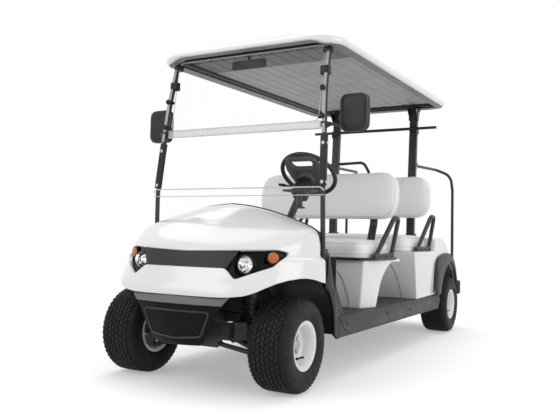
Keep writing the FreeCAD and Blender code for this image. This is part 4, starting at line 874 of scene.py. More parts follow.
# Lower lip seen from the side: distance ahead of the front axle, height
LIP_LINE = [(-0.300, 0.516), (-0.190, 0.518), (-0.120, 0.530), (-0.060, 0.544), (0.000, 0.5525),
            (0.040, 0.553), (0.110, 0.545), (0.165, 0.530), (0.210, 0.509), (0.240, 0.491), (0.270, 0.474),
            (0.300, 0.464), (0.330, 0.461)]
LIP_STEPS = 110
# Opening for the lamp band, seen from the front
WINDOW = [(-0.482, 0.671), (-0.440, 0.686), (0.0, 0.672), (0.440, 0.686), (0.482, 0.671), (0.447, 0.605),
          (0.296, 0.541), (0.238, 0.591), (-0.238, 0.591), (-0.296, 0.541), (-0.447, 0.605)]
WINDOW_CORNER = 0.016
# Depth and draw of the opening's rolled edge
WINDOW_ROLL = ((0.0, 0.0), (0.0012, 0.0012), (0.0035, 0.0022), (0.019, 0.0030))
COWL_GRID = (84, 52)
# Rolled lip under the skin, and the black trim along the cowl's rear edge
LIP_DEPTH = 0.0028
LIP_RADIUS = 0.0038
TRIM_FOOT = 0.66
TRIM_BACK = 0.004
TRIM_RADIUS = 0.0048


def between(table, value):
    """Row of a table at a value of its first column, in straight runs."""
    for low, high in zip(table, table[1:]):
        if value <= high[0]:
            share = max(0.0, (value - low[0]) / (high[0] - low[0]))
            return [a + (b - a) * share for a, b in zip(low, high)]
    return list(table[-1])


def cowl_table():
    """The cowl's levels, joined by a smooth curve."""
    columns = [curve_of_pairs([(row[0], row[i]) for row in COWL_LEVELS], 6) for i in (1, 2, 3)]
    return [(nose[0], nose[1], half[1], fullness[1]) for nose, half, fullness in zip(*columns)]


COWL_TABLE = cowl_table()
COWL_LOW = COWL_TABLE[0][0]
COWL_HIGH = COWL_TABLE[-1][0]


def cowl_point(angle, height):
    """Point of the skin: angle from -90 degrees at the right rear edge to 90 at the left, in radians."""
    _, nose, half, fullness = between(COWL_TABLE, height)
    share = max(0.0, 1 - abs(math.sin(angle)) ** fullness)
    ahead = (FRONT_AXLE + nose - COWL_REAR_X) * share ** COWL_SQUARENESS
    return Vector((COWL_REAR_X + ahead, half * math.sin(angle), height))


def cowl_normal(angle, height):
    step = 0.004
    left = cowl_point(min(angle + step, math.pi / 2), height)
    right = cowl_point(max(angle - step, -math.pi / 2), height)
    high = cowl_point(angle, min(height + step, COWL_HIGH))
    low = cowl_point(angle, max(height - step, COWL_LOW))
    normal = (left - right).cross(high - low)
    if normal.length < 1e-9:
        return Vector((0, 0, 1))
    return normal.normalized()


def under_cowl(angle, height, depth):
    """Point at a depth below the skin."""
    return cowl_point(angle, height) - cowl_normal(angle, height) * depth


def cowl_angle(y, height):
    half = between(COWL_TABLE, height)[2]
    return math.asin(max(-1.0, min(1.0, y / half)))


def inside(outline, a, b):
    """Whether a point lies in a closed outline of pairs."""
    found = False
    for (a0, b0), (a1, b1) in zip(outline, outline[1:] + outline[:1]):
        if (b0 > b) != (b1 > b) and a < (a1 - a0) * (b - b0) / (b1 - b0) + a0:
            found = not found
    return found


def dense(outline, step=0.012, whole=math.ceil):
    """Closed outline with points about a step apart. whole makes a count of steps from a length in steps."""
    made = []
    for (a0, b0), (a1, b1) in zip(outline, outline[1:] + outline[:1]):
        count = max(1, whole(math.hypot(a1 - a0, b1 - b0) / step))
        made += [(a0 + (a1 - a0) * i / count, b0 + (b1 - b0) * i / count) for i in range(count)]
    return made


ANGLE_SCALE = 0.45
GRID_CLEARANCE = 0.0035


def skin_patch(keep, lines, depth, grid=COWL_GRID):
    """Triangulated part of the cowl's form that has the given lines as edges."""
    points = []
    edges = []
    for line, closed in lines:
        start = len(points)
        points += [Vector((a * ANGLE_SCALE, h)) for a, h in line]
        count = len(line)
        edges += [(start + i, start + (i + 1) % count) for i in range(count if closed else count - 1)]
    marked = points[:]
    for height in evenly(COWL_LOW, COWL_HIGH, grid[1]):
        for angle in evenly(-math.pi / 2, math.pi / 2, grid[0]):
            spot = Vector((angle * ANGLE_SCALE, height))
            if all((spot - other).length > GRID_CLEARANCE for other in marked):
                points.append(spot)
    flat, _, faces, *_ = delaunay_2d_cdt(points, edges, [], 0, 1e-6)
    shape = Shape()
    verts = []
    for spot in flat:
        angle, height = spot.x / ANGLE_SCALE, spot.y
        verts.append(shape.mesh.verts.new(under_cowl(angle, height, depth(angle, height))))
    for face in faces:
        middle = sum((flat[i] for i in face), Vector((0, 0))) / len(face)
        if keep(middle.x / ANGLE_SCALE, middle.y):
            shape.mesh.faces.new([verts[i] for i in face])
    loose = [v for v in shape.mesh.verts if not v.link_faces]
    bmesh.ops.delete(shape.mesh, geom=loose, context="VERTS")
    bmesh.ops.recalc_face_normals(shape.mesh, faces=shape.mesh.faces[:])
    return shape


def lip_height(angle):
    """Height of the lower lip, found by steps since the skin's place depends on its height."""
    height = 0.50
    for _ in range(12):
        height = between(LIP_LINE, cowl_point(angle, height).x - FRONT_AXLE)[1]
    return height


LIP = [(angle, lip_height(angle)) for angle in evenly(-math.pi / 2, math.pi / 2, LIP_STEPS)]
WINDOW_LINE = dense(rounded_outline(WINDOW, WINDOW_CORNER, 4))
WINDOW_ANGLES = [(cowl_angle(y, z), z) for y, z in WINDOW_LINE]


def thicken(shape, depth):
    """Give an open skin a wall with a closed rim."""
    mesh = shape.mesh
    mesh.normal_update()
    outer = mesh.faces[:]
    rim = [e.link_loops[0] for e in mesh.edges if len(e.link_faces) == 1]
    inner = {v: mesh.verts.new(v.co - v.normal * depth) for v in mesh.verts[:]}
    ends = [(loop.vert, loop.link_loop_next.vert) for loop in rim]
    for face in outer:
        mesh.faces.new([inner[v] for v in reversed(face.verts)])
    for first, last in ends:
        mesh.faces.new((last, first, inner[first], inner[last]))


def window_ring(depth, draw):
    """Ring round the lamp band's opening, at a depth and drawn in by a distance."""
    ring = []
    after_line = WINDOW_LINE[1:] + WINDOW_LINE[:1]
    for (y, z), before, after in zip(WINDOW_LINE, WINDOW_LINE[-1:] + WINDOW_LINE, after_line):
        along = Vector((after[0] - before[0], after[1] - before[1])).normalized()
        inward = Vector((-along.y, along.x)) * draw
        if draw and not inside(WINDOW_LINE, y + inward.x, z + inward.y):
            inward.negate()
        ring.append(under_cowl(cowl_angle(y + inward.x, z + inward.y), z + inward.y, depth - 0.0004))
    return ring


def cowl():
    """White moulded cowl with the opening for the lamp band, its rolled lips and the rear trim."""
    def keep(angle, height):
        return height > between(LIP, angle)[1] and not inside(WINDOW_ANGLES, angle, height)

    shape = skin_patch(keep, [(WINDOW_ANGLES, True), (LIP, False)], lambda a, h: 0.0)
    thicken(shape, COWL_WALL)
    shape.rows([window_ring(depth, draw) for depth, draw in WINDOW_ROLL], ring=True)
    shape.tube([under_cowl(a, h, LIP_DEPTH) for a, h in LIP], LIP_RADIUS, 10)
    shape.done("cowl_skin", "white_body", replaces=["cowl"], angle=45.0)
    trim = Shape()
    back = Vector((-TRIM_BACK, 0, 0))
    left = [cowl_point(math.pi / 2, height) + back for height in evenly(TRIM_FOOT, COWL_HIGH, 90)]
    right = [Vector((p.x, -p.y, p.z)) for p in reversed(left[:-1])]
    trim.tube(left + right, TRIM_RADIUS, 10)
    trim.done("cowl_trim", "black_plastic")


# Place of each lamp's face, its radius and the way it looks
HEADLAMP_AT = Vector((FRONT_AXLE + 0.196, 0.314, 0.611))
HEADLAMP_RADIUS = 0.041
HEADLAMP_OUT = Vector((1.0, 0.0, 0.0))
TURN_LAMP_AT = Vector((FRONT_AXLE + 0.118, 0.423, 0.645))
TURN_LAMP_RADIUS = 0.028
TURN_LAMP_OUT = Vector((1.0, 0.42, 0.0))
BAND_MIDDLE_Z = 0.625
BAND_GRID = (150, 70)
BAND_WALL = 0.003
# How many times the opening's width and height the band has
BAND_OVERLAP = (1.012, 1.09)
PANEL_RECESS = 0.007
HOUSING_STEP = 0.019
STEP_WIDTH = 0.012
PANEL_BORDER_HEIGHTS = evenly(0.535, 0.691, 13)


def panel_edge(height):
    """Where the middle panel of the lamp band ends, to either side."""
    return 0.240 + (height - 0.596) * 0.55


def window_depth(angle, height):
    """Recess of the lamp band: shallow middle panel, deep lamp housings."""
    y = abs(cowl_point(angle, height).y)
    share = min(1.0, max(0.0, (y - panel_edge(height)) / STEP_WIDTH))
    return PANEL_RECESS + HOUSING_STEP * share * share * (3 - 2 * share)


def lamp_band():
    """Satin middle panel and gloss lamp housings behind the cowl's window."""
    wider, higher = BAND_OVERLAP
    wide = [(y * wider, BAND_MIDDLE_Z + (z - BAND_MIDDLE_Z) * higher) for y, z in WINDOW_LINE]
    angles = [(cowl_angle(y, z), z) for y, z in wide]
    holes = []
    for at, radius in ((HEADLAMP_AT, HEADLAMP_RADIUS), (TURN_LAMP_AT, TURN_LAMP_RADIUS)):
        for side in (-1, 1):
            ring = [(side * at.y + radius * cos, at.z + radius * sin) for cos, sin in circle(32)]
            holes.append([(cowl_angle(y, z), z) for y, z in ring])

    def middle(angle, height):
        return inside(angles, angle, height) and abs(cowl_point(angle, height).y) < panel_edge(height)

    def housing(angle, height):
        if abs(cowl_point(angle, height).y) < panel_edge(height) or not inside(angles, angle, height):
            return False
        return not any(inside(hole, angle, height) for hole in holes)

    def border(side, shift):
        return [(cowl_angle(side * (panel_edge(z) + shift), z), z) for z in PANEL_BORDER_HEIGHTS], False

    lines = [(angles, True), border(-1, 0.0), border(1, 0.0)]
    panel = skin_patch(middle, lines, window_depth, BAND_GRID)
    thicken(panel, BAND_WALL)
    panel.done("band_panel", "band_satin", replaces=["lamp_band"])
    lines += [(hole, True) for hole in holes]
    lines += [border(side, shift) for side in (-1, 1) for shift in (0.004, 0.008, 0.0125)]
    ends = skin_patch(housing, lines, window_depth, BAND_GRID)
    thicken(ends, BAND_WALL)
    ends.done("lamp_housings", "black_gloss")


# Profiles of the lamps: distance along the lamp's own axis, radius. A bezel's radii are added to its lamp's.
HEADLAMP_BEZEL = [(-0.050, 0.002), (-0.004, 0.0045), (0.001, 0.0035), (0.002, 0.001), (-0.002, -0.001),
                  (-0.048, -0.001)]
HEADLAMP_BOWL = [(-0.050, 0.008), (-0.046, 0.006), (-0.043, 0.014), (-0.036, 0.022), (-0.026, 0.029),
                 (-0.015, 0.035), (-0.003, 0.0395), (-0.003, 0.0402), (-0.050, 0.0402)]
HEADLAMP_BULB = [(-0.047, 0.006), (-0.028, 0.0055), (-0.024, 0.004), (-0.022, 0.0)]
HEADLAMP_LENS = [(-0.0035, 0.0388), (-0.001, 0.0386), (0.004, 0.034), (0.008, 0.026), (0.0105, 0.015),
                 (0.0115, 0.0)]
TURN_LAMP_BEZEL = [(-0.040, 0.001), (-0.003, 0.0035), (0.001, 0.003), (0.0015, 0.0005), (-0.002, -0.0015),
                   (-0.038, -0.0015)]
TURN_LAMP_LENS = [(-0.030, 0.0262), (-0.001, 0.0262), (0.002, 0.0255), (0.0035, 0.022), (0.0030, 0.0205),
                  (0.0052, 0.0190), (0.0046, 0.0150), (0.0068, 0.0130), (0.0062, 0.0090), (0.0080, 0.0070),
                  (0.0084, 0.0)]


def lamps():
    """Clear headlamps with faceted bowls, amber turn lamps, and a bezel round each."""
    bezels = Shape()
    bowls = Shape()
    lenses = Shape()
    ambers = Shape()
    bezels.lathe([(along, HEADLAMP_RADIUS + more) for along, more in HEADLAMP_BEZEL], HEADLAMP_AT,
                 HEADLAMP_OUT, 56, closed=True)
    bowls.lathe(HEADLAMP_BOWL, HEADLAMP_AT, HEADLAMP_OUT, 18)
    bowls.lathe(HEADLAMP_BULB, HEADLAMP_AT, HEADLAMP_OUT, 20)
    lenses.lathe(HEADLAMP_LENS, HEADLAMP_AT, HEADLAMP_OUT, 56)
    bezels.lathe([(along, TURN_LAMP_RADIUS + more) for along, more in TURN_LAMP_BEZEL], TURN_LAMP_AT,
                 TURN_LAMP_OUT, 48, closed=True)
    ambers.lathe(TURN_LAMP_LENS, TURN_LAMP_AT, TURN_LAMP_OUT, 48)
    bezels.done("lamp_bezels", "black_plastic", both=True)
    bowls.done("lamp_bowls", "chrome_bowl", both=True, angle=4.0)
    lenses.done("lamp_lenses", "lamp_glass", replaces=["headlamps"], both=True)
    ambers.done("turn_lenses", "amber_lens", replaces=["turn_lamps"], both=True, angle=28.0)


# Front bumper, each level as height, nose ahead of the front axle and half width
BUMPER_BACK = FRONT_AXLE + 0.150
BUMPER_BOW = 0.030
BUMPER_RETURN = 0.100
BUMPER_WALL = 0.004
BUMPER_LEVELS = [(0.222, 0.293, 0.120), (0.228, 0.301, 0.140), (0.245, 0.308, 0.154), (0.262, 0.313, 0.165),
                 (0.320, 0.319, 0.199), (0.384, 0.321, 0.232), (0.4155, 0.321, 0.254)]
STRIP_LEVELS = [(0.4175, 0.319, 0.256), (0.419, 0.323, 0.258), (0.440, 0.321, 0.276), (0.455, 0.311, 0.288),
                (0.464, 0.303, 0.290)]
BUMPER_RIB = [(-0.192, 0.386), (0.192, 0.386), (0.142, 0.268), (0.0, 0.256), (-0.142, 0.268)]


def bumper_front(nose, half, y):
    """How far forward the bowed front of the bumper lies at a distance from the middle."""
    return FRONT_AXLE + nose - BUMPER_BOW * (y / half) ** 2


def bumper_row(z, nose, half):
    """Plan line of the bumper: its right side, the bowed front and the left side, with round corners."""
    front = [(bumper_front(nose, half, y), y, z) for y in evenly(-half, half, 14)]
    inner = half - BUMPER_RETURN
    return smooth_path([(BUMPER_BACK, -inner, z)] + front + [(BUMPER_BACK, inner, z)], 0.022, 5)


def front_bumper():
    """Black mask below the cowl with the rib round its middle, and the strip above it in a lighter copy of
    the dark plastic, which is painted light.
    """
    mask = Shape()
    mask.rows([bumper_row(*level) for level in BUMPER_LEVELS])
    foot = [v for v in mask.mesh.verts if v.co.z < BUMPER_LEVELS[0][0] + 0.0005]
    bmesh.ops.contextual_create(mask.mesh, geom=foot)
    thicken(mask, BUMPER_WALL)
    mask.done("bumper_mask", "bumper_black", replaces=["front_bumper"], angle=50.0)
    strip = Shape()
    strip.rows([bumper_row(*level) for level in STRIP_LEVELS])
    thicken(strip, BUMPER_WALL)
    # The strip's lighter plastic is painted light.
    strip.done("bumper_strip", "bumper_painted_light", angle=50.0)
    rib = Shape()
    path = []
    for y, z in dense(rounded_outline(BUMPER_RIB, 0.02, 6), 0.01):
        _, nose, half = between(BUMPER_LEVELS, z)
        path.append(Vector((bumper_front(nose, half, y) - 0.001, y, z)))
    rib.tube(path, 0.0055, 8, loop=True)
    rib.done("bumper_rib", "band_satin")


cowl()
lamp_band()
lamps()
front_bumper()


# Roof
ROOF_FRONT = FRONT_AXLE - 0.215
ROOF_REAR = FRONT_AXLE - 2.430
ROOF_HALF_WIDTH = 0.586
ROOF_LOW = 1.760
ROOF_PITCH = math.radians(1.53)
ROOF_FRONT_ARCH = 0.025
CEILING_RIBS = 12
CEILING_LIFT = 0.040
CEILING_INSET = 0.0745
CEILING_GROOVE = 0.0045
# Front edge of the sunken ceiling, the two places where its painted shade lightens and then ends, and its
# rear edge
CEILING_STOPS = (ROOF_FRONT - 0.075, FRONT_AXLE - 0.440, FRONT_AXLE - 0.690, ROOF_REAR + 0.075)
ROOF_HOOPS = (FRONT_AXLE - 0.325, FRONT_AXLE - 2.332)
ROOF_TUBE_RADIUS = 0.0138
ROOF_TUBE_LIFT = 0.024
# End inset, side inset, height above the rim's foot, corner radius
ROOF_RIM = [
    (0.074, 0.074, 0.046, 0.045), (0.074, 0.074, 0.004, 0.050), (0.070, 0.070, 0.000, 0.055),
    (0.012, 0.012, -0.001, 0.118), (0.004, 0.004, 0.004, 0.126), (0.000, 0.000, 0.011, 0.130),
]
ROOF_CROWN = [
    (0.000, 0.000, 0.011, 0.130), (0.000, 0.000, 0.030, 0.130), (0.006, 0.014, 0.046, 0.125),
    (0.014, 0.060, 0.054, 0.112), (0.024, 0.140, 0.069, 0.100), (0.040, 0.240, 0.087, 0.095),
    (0.090, 0.360, 0.1035, 0.080), (0.300, 0.470, 0.115, 0.060),
]
ROOF_INSIDE = [
    (0.074, 0.074, 0.046, 0.045), (0.100, 0.160, 0.058, 0.050), (0.130, 0.260, 0.076, 0.060),
    (0.200, 0.380, 0.092, 0.060),
]


def pitched(point):
    """Point of the roof, leaned back about its front edge."""
    x, y, z = point
    back = x - ROOF_FRONT
    up = z - ROOF_LOW
    return Vector((ROOF_FRONT + back * math.cos(ROOF_PITCH) + up * math.sin(ROOF_PITCH), y,
                   ROOF_LOW - back * math.sin(ROOF_PITCH) + up * math.cos(ROOF_PITCH)))


def front_arch(x, y, lift):
    """How far the rim's foot rises along the roof's front edge."""
    near = min(1.0, max(0.0, (x - ROOF_FRONT + 0.095) / 0.02))
    middle = min(1.0, max(0.0, (ROOF_HALF_WIDTH - 0.080 - abs(y)) / 0.085))
    return ROOF_FRONT_ARCH * near * middle ** 2 * (3 - 2 * middle) * max(0.0, 1 - max(lift, 0) / 0.032)


def roof_ring(end_inset, side_inset, lift, corner, side_steps=24, turn_steps=9):
    """Rounded rectangle of points round the roof at one level."""
    x0, x1 = ROOF_REAR + end_inset, ROOF_FRONT - end_inset
    half = ROOF_HALF_WIDTH - side_inset
    turns = [(x1 - corner, half - corner), (x0 + corner, half - corner), (x0 + corner, corner - half),
             (x1 - corner, corner - half)]
    ring = []
    for quarter, (x, y) in enumerate(turns):
        for angle in evenly(math.pi / 2 * quarter, math.pi / 2 * (quarter + 1), turn_steps):
            ring.append(Vector((x + corner * math.cos(angle), y + corner * math.sin(angle))))
    made = []
    for i, here in enumerate(ring):
        made.append(here)
        if (i + 1) % (turn_steps + 1) == 0:
            ahead = ring[(i + 1) % len(ring)]
            made += [here.lerp(ahead, k / side_steps) for k in range(1, side_steps)]
    return [pitched((x, y, ROOF_LOW + lift + front_arch(x, y, lift))) for x, y in made]


def ceiling_row(x):
    """Ceiling section at one place along the roof: flat ribs with narrow grooves between them."""
    half = ROOF_HALF_WIDTH - CEILING_INSET
    row = [(-half, 0.0)]
    pitch = 2 * half / CEILING_RIBS
    for rib in range(CEILING_RIBS):
        start = -half + rib * pitch
        end = start + pitch
        row += [(start + 0.004, 0.0), (start + 0.009, -CEILING_GROOVE), (end - 0.009, -CEILING_GROOVE),
                (end - 0.004, 0.0)]
    row.append((half, 0.0))
    return [pitched((x, y, ROOF_LOW + CEILING_LIFT + drop)) for y, drop in row]


def roof_shell():
    """Moulded roof with a round rim, and the underside of the rim in a grey copy of the white body, which is
    painted shade.
    """
    shell = Shape()
    spots = curve_through([level[:3] for level in ROOF_CROWN], 3)
    corners = curve_through([(level[3], 0, 0) for level in ROOF_CROWN], 3)
    crown_levels = [(spot.x, spot.y, spot.z, corner.x) for spot, corner in zip(spots, corners)]
    shell.rows([roof_ring(*level) for level in ROOF_RIM[:-1] + crown_levels], ring=True)
    highest = [v for v in shell.mesh.verts if v.is_boundary and v.co.z > ROOF_LOW + 0.1]
    bmesh.ops.contextual_create(shell.mesh, geom=highest)
    shell.rows([roof_ring(*level) for level in ROOF_INSIDE], ring=True)
    shell.done("roof_skin", "white_body", replaces=["roof_shell"], angle=50.0)
    # The rim's underside is painted shade: a grey copy of the white body.
    rim_foot = Shape()
    rim_foot.rows([roof_ring(inset, inset, lift, corner)
                   for inset, lift, corner in ((0.0725, -0.0012, 0.052), (0.016, -0.0022, 0.114))], ring=True)
    thicken(rim_foot, 0.0008)
    rim_foot.done("roof_rim_underside", "roof_rim_painted_shade")


def roof_ceiling():
    """Ribbed ceiling in three finishes, the front two darker as painted shade, and the dark channel round it.
    """
    front, deep_shade_end, split, rear = CEILING_STOPS
    # The front two parts of the ceiling are painted shade: near-black at the front, then a darker copy of the
    # liner.
    for name, start, end, finish in (("roof_front_deep_shade", front, deep_shade_end, "band_satin"),
                                     ("roof_front_shade_panel", deep_shade_end - 0.002, split + 0.002, "liner_painted_shade"),
                                     ("roof_ceiling", split - 0.002, rear, "liner_grey")):
        ceiling = Shape()
        steps = max(4, round((start - end) / 0.1))
        ceiling.rows([ceiling_row(x) for x in evenly(start, end, steps)])
        thicken(ceiling, 0.004)
        ceiling.done(name, finish, replaces=["roof_liner"], angle=30.0)
    channel = Shape()
    channel.rows([roof_ring(0.0738, 0.0738, lift, 0.048) for lift in (0.003, 0.036)], ring=True)
    thicken(channel, 0.003)
    channel.done("roof_channel", "black_plastic")


def roof_tubes():
    """Tube frame under the roof: two hoops and two side runs."""
    tubes = Shape()
    z = ROOF_LOW + ROOF_TUBE_LIFT
    y = ROOF_HALF_WIDTH - CEILING_INSET - 0.014
    for x in ROOF_HOOPS:
        tubes.tube([pitched((x, across_y, z)) for across_y in evenly(-y, y, 4)], ROOF_TUBE_RADIUS)
    for side in (-1, 1):
        tubes.tube([pitched((x, side * y, z)) for x in evenly(*ROOF_HOOPS, 8)], ROOF_TUBE_RADIUS)
    tubes.done("roof_tubes", "black_steel", replaces=["roof_frame"])


roof_shell()
roof_ceiling()
roof_tubes()


# Rigid body panels behind the cowl
POD_HALF_WIDTH = 0.548
POD_CORNER_DEPTH = 0.17
POD_CORNER_CUT = 0.054
FRONT_SEAT = FRONT_AXLE - 0.830
FRONT_SEAT_TOP = 0.622
REAR_SEAT = FRONT_AXLE - 1.690
REAR_SEAT_TOP = 0.665
SEAT_DEPTH = 0.520
POD_LOW = FLOOR_TOP + 0.0005


def pod_plan(x, front):
    """Half width of the front pod at a distance back from its front face: the front corners are cut in."""
    share = min(1.0, max(0.0, (front - x) / POD_CORNER_DEPTH))
    return POD_HALF_WIDTH - POD_CORNER_CUT * (1 - share) ** 1.4


def pod_bead(name, half_arch, face):
    """Bead along the arch on a pod's front face, in a darker copy of the white paint as painted shade. face
    gives the distance forward at a height.
    """
    bead = Shape()
    arch = curve_of_pairs(both_halves(half_arch), 6)
    bead.tube([Vector((face(z), y, z)) for y, z in arch], 0.0042, 8)
    bead.done(name, "pod_painted_shade")


def front_pod():
    """White pod of the front seat: overhanging at the back, with cut-in front corners."""
    x = FRONT_SEAT
    top = FRONT_SEAT_TOP
    low = POD_LOW
    leg = curve_of_pairs([(x - 0.400, top - 0.020), (x - 0.300, top - 0.062), (x - 0.215, top - 0.125),
                          (x - 0.160, top - 0.205), (x - 0.130, low)], 6)
    outline = [(x + 0.010, low), (x - 0.004, low + 0.15), (x - 0.018, top), (x - 0.560, top),
               (x - 0.560, top - 0.024)] + leg
    shape = Shape()
    shape.rows([[Vector((a, share * pod_plan(a, x + 0.01), b)) for a, b in outline]
                for share in evenly(-1.0, 1.0, 36)], ring=True, caps=True)
    shape.soften(shape.mesh.faces[:], 0.010, 4, 35.0)
    shape.done("front_pod", "white_body", replaces=["front_seat_base"], angle=35.0)
    pod_bead("front_pod_bead", [(-0.425, 0.334), (-0.418, 0.390), (-0.393, 0.450), (-0.366, 0.512),
                                (-0.318, 0.556), (-0.240, 0.576)],
             lambda z: x + 0.011 - 0.028 * (z - low) / (top - low))


def front_seat_board():
    """Black board between the pod and the front cushion."""
    shape = Shape()
    x = FRONT_SEAT
    outline = [(x + 0.014, -0.505), (x + 0.014, 0.505), (x - 0.10, 0.552), (x - 0.50, 0.552),
               (x - 0.50, -0.552), (x - 0.10, -0.552)]
    shape.prism(outline, "z", FRONT_SEAT_TOP - 0.004, FRONT_SEAT_TOP + 0.010, edge=0.003, corner=0.03)
    shape.done("front_seat_board", "black_plastic")


ARCH_RADIUS = 0.345
# Outer edge of the rear flares: distance ahead of the rear axle, height
FLARE_OUTLINE = [
    (0.436, 0.334), (0.438, 0.530), (0.425, 0.575), (0.390, 0.606), (0.330, 0.626), (0.230, 0.642),
    (0.130, 0.648), (0.020, 0.644), (-0.090, 0.622), (-0.190, 0.574), (-0.270, 0.505), (-0.325, 0.428),
    (-0.350, 0.364),
]
FLARE_ANGLES = (math.radians(17.8), math.radians(157))
# Section of a flare: share of the way from its outer edge to the arch, height above the body's side
FLARE_SECTION = ((0.0, 0.0006), (0.0, 0.012), (0.03, 0.019), (0.09, 0.022), (0.5, 0.023), (0.93, 0.0245),
                 (0.985, 0.021), (1.0, 0.014), (1.0, 0.0006))
# Rear deck seen from the side: distance ahead of the rear axle, height
REAR_DECK = [(0.440, 0.766), (0.290, 0.775), (0.160, 0.753), (0.040, 0.694), (-0.090, 0.596), (-0.200, 0.537),
             (-0.290, 0.482), (-0.345, 0.415), (-0.360, POD_LOW)]
# Stations across the tail: share of the half width, and how full the deck's shoulder is there
TAIL_SHOULDER = [(-1.0, 0.0), (-0.985, 0.5), (-0.95, 0.9), (-0.90, 1.0)]


def tail_half(x):
    """Half width of the rear body along the cart."""
    share = min(1.0, max(0.0, (REAR_AXLE + 0.150 - x) / 0.570))
    return BODY_HALF_WIDTH - 0.042 * share


def rear_body():
    """Rear body: seat box, deck step and a rounded tail, with the wheel arches cut away."""
    x = REAR_SEAT
    top = REAR_SEAT_TOP
    outline = [(x - 0.038, POD_LOW), (x - 0.006, 0.50), (x + 0.024, top - 0.004), (x + 0.020, top),
               (REAR_AXLE + 0.470, top)]
    outline += curve_of_pairs([(REAR_AXLE + a, b) for a, b in REAR_DECK], 6)
    middle = [(share, 1.0) for share in evenly(-0.9, 0.9, 14)[1:-1]]
    rows = []
    for share, full in TAIL_SHOULDER + middle + [(-a, b) for a, b in reversed(TAIL_SHOULDER)]:
        drop = 0.020 * (1 - full)
        lowered = [(a, b - drop if b > top + 0.003 else b) for a, b in outline]
        rows.append([Vector((a, share * tail_half(a), b)) for a, b in lowered])
    shape = Shape()
    shape.rows(rows, ring=True, caps=True)
    shape.soften(shape.mesh.faces[:], 0.006, 3, 40.0)
    piece = shape.done("rear_pod", "white_body", replaces=["rear_body"], angle=35.0)
    cutter = Shape()
    for side in (-1, 1):
        cutter.lathe([(0.33, ARCH_RADIUS), (0.70, ARCH_RADIUS)], (REAR_AXLE, 0, AXLE_Z), (0, side, 0), 96)
    cut_away(piece, cutter)
    pod_bead("rear_pod_bead", [(-0.450, 0.334), (-0.440, 0.420), (-0.421, 0.494), (-0.385, 0.560),
                               (-0.320, 0.604), (-0.240, 0.620)],
             lambda z: x - 0.039 + 0.065 * (z - POD_LOW) / (top - POD_LOW))


def cut_away(piece, cutter):
    """Take a shape out of a finished piece."""
    mesh = bpy.data.meshes.new("cutter")
    cutter.mesh.to_mesh(mesh)
    cutter.mesh.free()
    tool = bpy.data.objects.new("cutter", mesh)
    bpy.context.scene.collection.objects.link(tool)
    modifier = piece.modifiers.new("cut", "BOOLEAN")
    modifier.object = tool
    modifier.operation = "DIFFERENCE"
    modifier.solver = "EXACT"
    apply_modifiers(piece)
    bpy.data.objects.remove(tool)
    piece.data.set_sharp_from_angle(angle=math.radians(35.0))


def apply_modifiers(piece):
    bpy.context.view_layer.update()
    made = bpy.data.meshes.new_from_object(piece.evaluated_get(bpy.context.evaluated_depsgraph_get()))
    piece.modifiers.clear()
    old = piece.data
    piece.data = made
    bpy.data.meshes.remove(old)


def rear_trim():
    """Wide flares around the rear wheel arches, and the bumper across the tail."""
    flare = Shape()
    edge = curve_through([(REAR_AXLE + a, 0, b) for a, b in FLARE_OUTLINE], 6)
    rows = []
    for share in evenly(0.0, 1.0, 72):
        place = share * (len(edge) - 1)
        low = min(int(place), len(edge) - 2)
        outer = edge[low].lerp(edge[low + 1], place - low)
        angle = FLARE_ANGLES[0] + (FLARE_ANGLES[1] - FLARE_ANGLES[0]) * share
        inner = Vector((REAR_AXLE + ARCH_RADIUS * math.cos(angle), 0, AXLE_Z + ARCH_RADIUS * math.sin(angle)))
        spots = [(outer.lerp(inner, inward), proud) for inward, proud in FLARE_SECTION]
        rows.append([Vector((spot.x, tail_half(spot.x) + proud, spot.z)) for spot, proud in spots])
    flare.rows(rows, ring=True, caps=True)
    flare.done("rear_flares", "dark_plastic", both=True, replaces=["rear_trim"], angle=35.0)
    bumper = Shape()
    back = REAR_AXLE - 0.361
    half = BODY_HALF_WIDTH
    bumper.block((back - 0.046, -half, 0.285), (back - 0.001, half, 0.405), 0.016)
    for z in (0.322, 0.368):
        bumper.block((back - 0.0485, 0.04 - half, z - 0.005), (back - 0.040, half - 0.04, z + 0.005), 0.0035)
    bumper.done("rear_bumper", "dark_plastic")


front_pod()
front_seat_board()
rear_body()
rear_trim()


# Seats
CUSHION_HALF = BODY_HALF_WIDTH - 0.050
CUSHION_THICK = 0.105
CUSHION_CORNER = 0.060
CUSHION_EDGE = 0.034
BACKREST_THICK = 0.085
BACKREST_CORNER = 0.095
BACKREST_EDGE = 0.030
PAD_VOXEL = 0.011
PAD_SWELL = 0.009
PAD_PRESSURE = 4.0
PAD_FRAMES = 20
PIPING = 0.0027


def pad_ring(length, width, inset, corner):
    """Rounded outline of a pad, drawn in by an inset."""
    far = (length / 2 - inset, width / 2 - inset)
    return round_box((-far[0], -far[1]), far, max(corner - inset, 0.006) * 1.45)


def pad_form(length, width, thick, corner, edge, place):
    """Closed pad: flat foot, round edge and crowned face, set in place by a matrix."""
    levels = [(0.030, 0.0), (0.006, 0.0), (0.0, 0.006), (0.0, thick - edge)]
    levels += [(edge * (1 - math.cos(math.radians(a))), thick - edge + edge * math.sin(math.radians(a)))
               for a in (25, 50, 75)]
    levels += [(edge + 0.03, thick + 0.002), (edge + 0.07, thick + 0.005), (edge + 0.12, thick + 0.006)]
    shape = Shape()
    shape.rows([[place @ Vector((a, b, up)) for a, b in pad_ring(length, width, inset, corner)]
                for inset, up in levels], ring=True, caps=True)
    return shape


